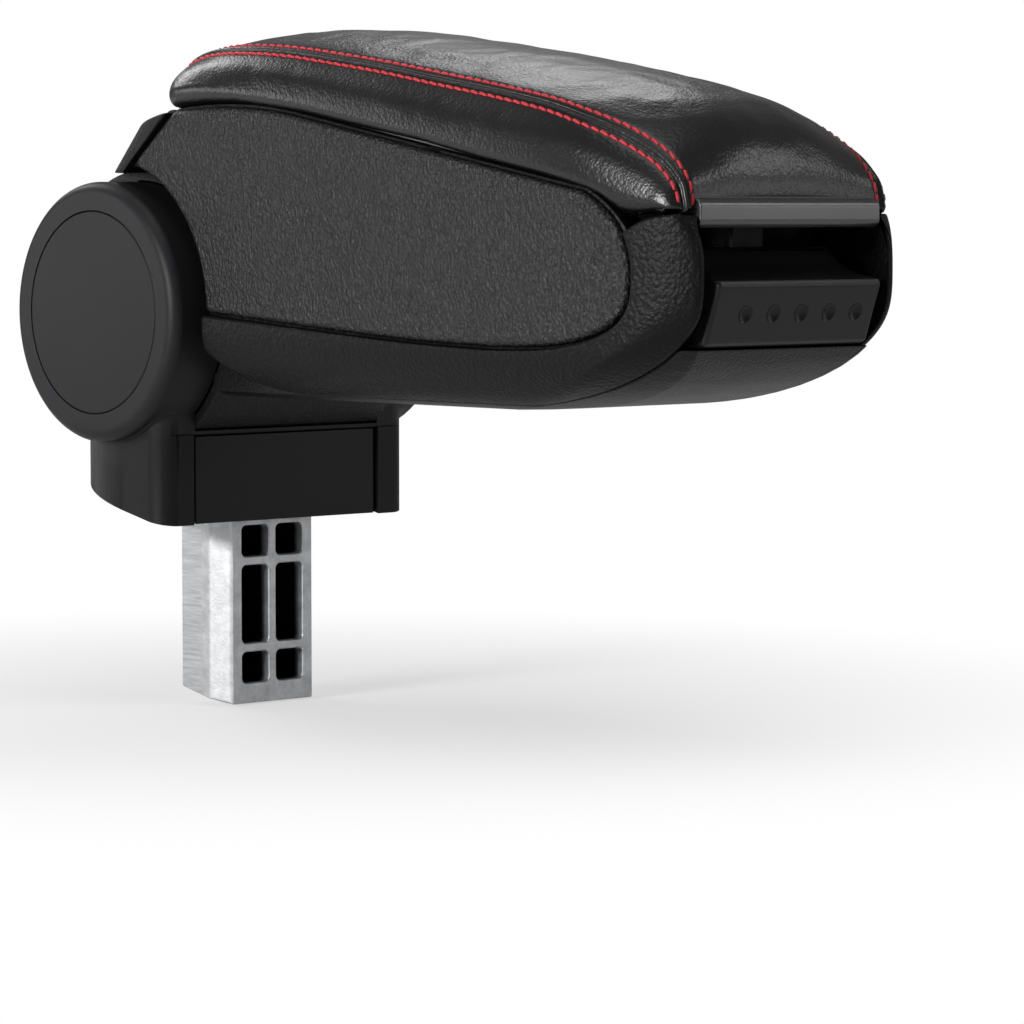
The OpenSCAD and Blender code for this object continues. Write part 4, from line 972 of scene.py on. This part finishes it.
def blown_up(points, faces, held):
    """The foam's push on the cover: a cloth simulation under pressure on a coarse copy, with the seams, the
    hem and the underside held. Gives the copy's points and their capped shifts, in millimetres."""
    mesh = bpy.data.meshes.new("cover_trial")
    mesh.from_pydata((points * mm).tolist(), [], faces.tolist())
    trial = bpy.data.objects.new("cover_trial", mesh)
    scene.collection.objects.link(trial)
    coarse = trial.modifiers.new("voxels", "REMESH")
    coarse.mode = "VOXEL"
    coarse.voxel_size = cushion_voxel * mm
    graph = bpy.context.evaluated_depsgraph_get()
    mesh = bpy.data.meshes.new_from_object(trial.evaluated_get(graph))
    trial.modifiers.clear()
    trial.data = mesh
    rest = np.empty(len(mesh.vertices) * 3)
    mesh.vertices.foreach_get("co", rest)
    rest = rest.reshape(-1, 3)
    low_side = rest[:, 2] / mm < rim_height(rest[:, 0] / mm) + plate_top + held_height
    fixed = (nearest(rest / mm, held) < held_reach) | low_side
    trial.vertex_groups.new(name="held").add(np.flatnonzero(fixed).tolist(), 1.0, "REPLACE")
    cloth = trial.modifiers.new("leather", "CLOTH")
    cloth.settings.quality = cushion_quality
    cloth.settings.mass = leather_mass
    cloth.settings.tension_stiffness = leather_stretch
    cloth.settings.compression_stiffness = leather_stretch
    cloth.settings.bending_stiffness = leather_bend
    cloth.settings.use_pressure = True
    cloth.settings.uniform_pressure_force = cushion_pressure
    cloth.settings.vertex_group_mass = "held"
    cloth.settings.effector_weights.gravity = 0
    cloth.point_cache.frame_start = 1
    cloth.point_cache.frame_end = cushion_frames
    for step in range(1, cushion_frames + 1):
        scene.frame_set(step)
    final = np.empty(len(rest) * 3)
    trial.evaluated_get(bpy.context.evaluated_depsgraph_get()).data.vertices.foreach_get("co", final)
    scene.frame_set(1)
    bpy.data.objects.remove(trial)
    shift = final.reshape(-1, 3) - rest
    size = np.linalg.norm(shift, axis=1, keepdims=True) / mm
    return rest / mm, shift / mm * np.minimum(1, shift_cap / np.maximum(size, least_shift))


spread = 30.0


def carried(points, rest, shift, block=1500):
    """Shift of each fine point: the mean of the coarse shifts, each weighted by the sum of its distance
    squared and the spread, to the power -3."""
    parts = []
    for i in range(0, len(points), block):
        square = ((points[i:i + block, None] - rest[None]) ** 2).sum(2)
        weight = (square + spread) ** -3
        parts.append(weight @ shift / weight.sum(1, keepdims=True))
    return np.vstack(parts)


leather_colour = "#0b0b0c"
leather_grain, leather_warp, leather_shift = 0.00105, 0.0025, 0.0013
pore_size, crease_size = 0.0005, 0.0055
grain_smoothness = 0.4
crease_edges = (0.44, 0.50)
pore_share, crease_share = 0.25, 0.12
leather_depth = 0.00011
leather_cloud = 30.0
leather_roughness = (0.27, 0.36)
leather_level = 0.5


def leatherette():
    """Black leatherette: polyurethane on a woven back, embossed with a fine leather grain and a little
    creased. The eye gets a soft broad sheen that breaks up into grain where it is brightest."""
    material, tree = new_material("black_leatherette")
    place = add(tree, "TexCoord").outputs["Object"]
    warp = add(tree, "TexNoise", {"Scale": 1 / leather_warp, "Detail": 3.0}, {"Vector": place})
    moved = add(tree, "MixRGB", {0: leather_shift}, {1: place, 2: warp.outputs["Color"]}, blend_type="ADD")
    cells = add(tree, "TexVoronoi", {"Scale": 1 / leather_grain, "Smoothness": grain_smoothness},
                {"Vector": moved.outputs[0]}, feature="SMOOTH_F1")
    pores = add(tree, "TexNoise", {"Scale": 1 / pore_size, "Detail": 2.0}, {"Vector": place})
    crease = add(tree, "TexNoise", {"Scale": 1 / crease_size, "Detail": 4.0, "Distortion": 1.4},
                 {"Vector": place})
    folds = add(tree, "MapRange", {"From Min": crease_edges[0], "From Max": crease_edges[1]},
                {"Value": crease.outputs["Fac"]}, interpolation_type="SMOOTHSTEP")
    height = add(tree, "MixRGB", {0: pore_share}, {1: cells.outputs["Distance"], 2: pores.outputs["Fac"]})
    creased = add(tree, "MixRGB", {0: crease_share}, {1: height.outputs[0], 2: folds.outputs[0]})
    grain = add(tree, "Bump", {"Strength": 1.0, "Distance": leather_depth}, {"Height": creased.outputs[0]},
                invert=True)
    wide = add(tree, "TexNoise", {"Scale": leather_cloud, "Detail": 3.0}, {"Vector": place})
    gloss = add(tree, "MapRange", {"To Min": leather_roughness[0], "To Max": leather_roughness[1]},
                {"Value": wide.outputs["Fac"]})
    leather = add(tree, "BsdfPrincipled",
                  {"Base Color": linear(leather_colour), "IOR": plastic_ior,
                   "Specular IOR Level": leather_level},
                  {"Normal": grain.outputs[0], "Roughness": gloss.outputs[0]})
    add(tree, "OutputMaterial", None, {"Surface": leather.outputs[0]})
    return material


sag = 0.6
seam_grip, hem_grip, hem_below = 7, 4, 2.0
stitch_pitch = 3.6
pull_mean, pull_wave = 0.7, 0.3
cover, seam_distance = whole_cover(row_count)
_, seam_line, wide_line = cover_lines(row_count)
mirror = np.array([1, -1, 1])
seams = np.vstack([seam_line, seam_line * mirror])
flat_cover = cover.reshape(-1, 3)
from_seam = nearest(flat_cover, seams[::2])
hems = np.vstack([wide_line, wide_line * mirror])
from_hem = nearest(flat_cover, hems[::2] - np.array([0, 0, hem_below]))
loose = (1 - np.exp(-(from_seam / seam_grip) ** 2)) * (1 - np.exp(-(from_hem / hem_grip) ** 2))
flat_cover = flat_cover - sag * grid_normals(cover).reshape(-1, 3) * loose[:, None]
rest, shift = blown_up(*closed_cover(flat_cover.reshape(cover.shape)), seams)
flat_cover = flat_cover + carried(flat_cover, rest, shift) * loose[:, None]
cover = flat_cover.reshape(cover.shape)
cover_normals = grid_normals(cover)
run = distances(seam_line)
run = np.r_[np.zeros(len(rear_roll)), run, np.full(len(front_roll), run[-1])][:, None]
far_from = np.abs(seam_distance)[None]
pull = pull_mean + pull_wave * np.cos(2 * math.pi * run / stitch_pitch)
relief = (ridge_rise * dome(far_from, 0, ridge_half) - groove_depth * dome(far_from, groove_at, groove_half)
          - row_depth * pull * dome(far_from, row_at, row_half))
cover = cover + cover_normals * relief[..., None]
sewn_cover = make_piece("stitched_cover", *closed_cover(cover), leatherette(), "lid", "leather", "lid_pad")

# Stitches
# Two rows of red bonded polyester thread run beside each seam of the cover and hold its turned edges down.
# Each stitch dips into its needle holes, and the two twisted plies show as fine slanting ribs.
thread_colour = "#d8323d"
thread_radius, stitch_half, hole_depth, stitch_lean, stitch_lift = 0.50, 1.80, 0.60, 0.16, 0.24
ply_depth, ply_pitch = 0.13, 1.2
round_count, ring_count = 8, 9
end_taper = 0.75
end_faces = np.array([(0, 1, 2, 7), (2, 3, 6, 7), (3, 4, 5, 6)])
deep_red = "#b3212b"
fuzz_size, fuzz_depth = 0.0003, 0.00004
thread_roughness, thread_level = 0.5, 0.5


def stitch_row(path, normal):
    """Points and faces of a row of stitches. A stitch is an eight-sided tube round the path between two
    needle holes. It sinks by the fourth power of the distance from its middle, leans across the row, and its
    radius waves twice round."""
    length = distances(path)
    count = int(length[-1] / stitch_pitch)
    middle = (np.arange(count) + 0.5) * stitch_pitch + (length[-1] - count * stitch_pitch) / 2
    a = np.linspace(-1, 1, ring_count)
    at = middle[:, None] + a * stitch_half
    place = np.stack([np.interp(at, length, path[:, k]) for k in range(3)], -1)
    up = unit(np.stack([np.interp(at, length, normal[:, k]) for k in range(3)], -1))
    along = unit(np.gradient(place, axis=1))
    across = unit(np.cross(along, up))
    centre = place + up * (stitch_lift - hole_depth * a ** 4)[:, None] + across * (stitch_lean * a)[:, None]
    turn = np.arange(round_count) * 2 * math.pi / round_count
    wave = 1 + ply_depth * np.cos(2 * turn + 2 * math.pi * (a[:, None] * stitch_half) / ply_pitch)
    radius = thread_radius * wave * np.sqrt(1 - end_taper * a ** 4)[:, None]
    circle = np.cos(turn)[:, None] * across[:, :, None] + np.sin(turn)[:, None] * up[:, :, None]
    points = (centre[:, :, None] + circle * radius[..., None]).reshape(-1, 3)
    i, j = np.meshgrid(np.arange(ring_count - 1), np.arange(round_count), indexing="ij")
    base, after = (i * round_count + j).ravel(), (i * round_count + (j + 1) % round_count).ravel()
    tube = np.stack([base, base + round_count, after + round_count, after], 1)
    one = np.vstack([tube, end_faces, end_faces[:, ::-1] + (ring_count - 1) * round_count])
    faces = one[None] + (np.arange(count) * ring_count * round_count)[:, None, None]
    return points, faces.reshape(-1, 4)


def thread_polyester():
    """Bonded polyester thread: dyed red, a little fuzzy, with a dry sheen on its plies."""
    material, tree = new_material("red_polyester_thread")
    place = add(tree, "TexCoord").outputs["Object"]
    fuzz = add(tree, "TexNoise", {"Scale": 1 / fuzz_size, "Detail": 2.0}, {"Vector": place})
    grain = add(tree, "Bump", {"Strength": 1.0, "Distance": fuzz_depth}, {"Height": fuzz.outputs["Fac"]})
    tone = add(tree, "MixRGB", {1: linear(deep_red), 2: linear(thread_colour)}, {0: fuzz.outputs["Fac"]})
    thread = add(tree, "BsdfPrincipled",
                 {"Roughness": thread_roughness, "Specular IOR Level": thread_level},
                 {"Base Color": tone.outputs[0], "Normal": grain.outputs[0]})
    add(tree, "OutputMaterial", None, {"Surface": thread.outputs[0]})
    return material


thread_points, thread_faces, thread_size = [], [], 0
unrolled = slice(len(rear_roll), -len(front_roll))
for column in np.flatnonzero(np.isclose(np.abs(seam_distance), row_at)):
    row_points, row_faces = stitch_row(cover[unrolled, column], cover_normals[unrolled, column])
    thread_points.append(row_points)
    thread_faces.append(row_faces + thread_size)
    thread_size += len(row_points)
make_piece("thread_rows", np.vstack(thread_points), np.vstack(thread_faces), thread_polyester(), "lid",
           "leather")

# Latch button
# Satin black ABS: a thumb face with a row of shallow dimples under a finger scoop.
# Its edges are softly rounded, and it slides in the bay on two coil springs.
latch_colour = "#171719"
latch_level = 0.3
latch_edge = 0.0014
latch_abs = satin_abs("satin_latch_abs", latch_colour, 0.36, satin_grit, pressed_depth, latch_level)
softened("latch_button", latch_edge, latch_abs, "moulded_latch")
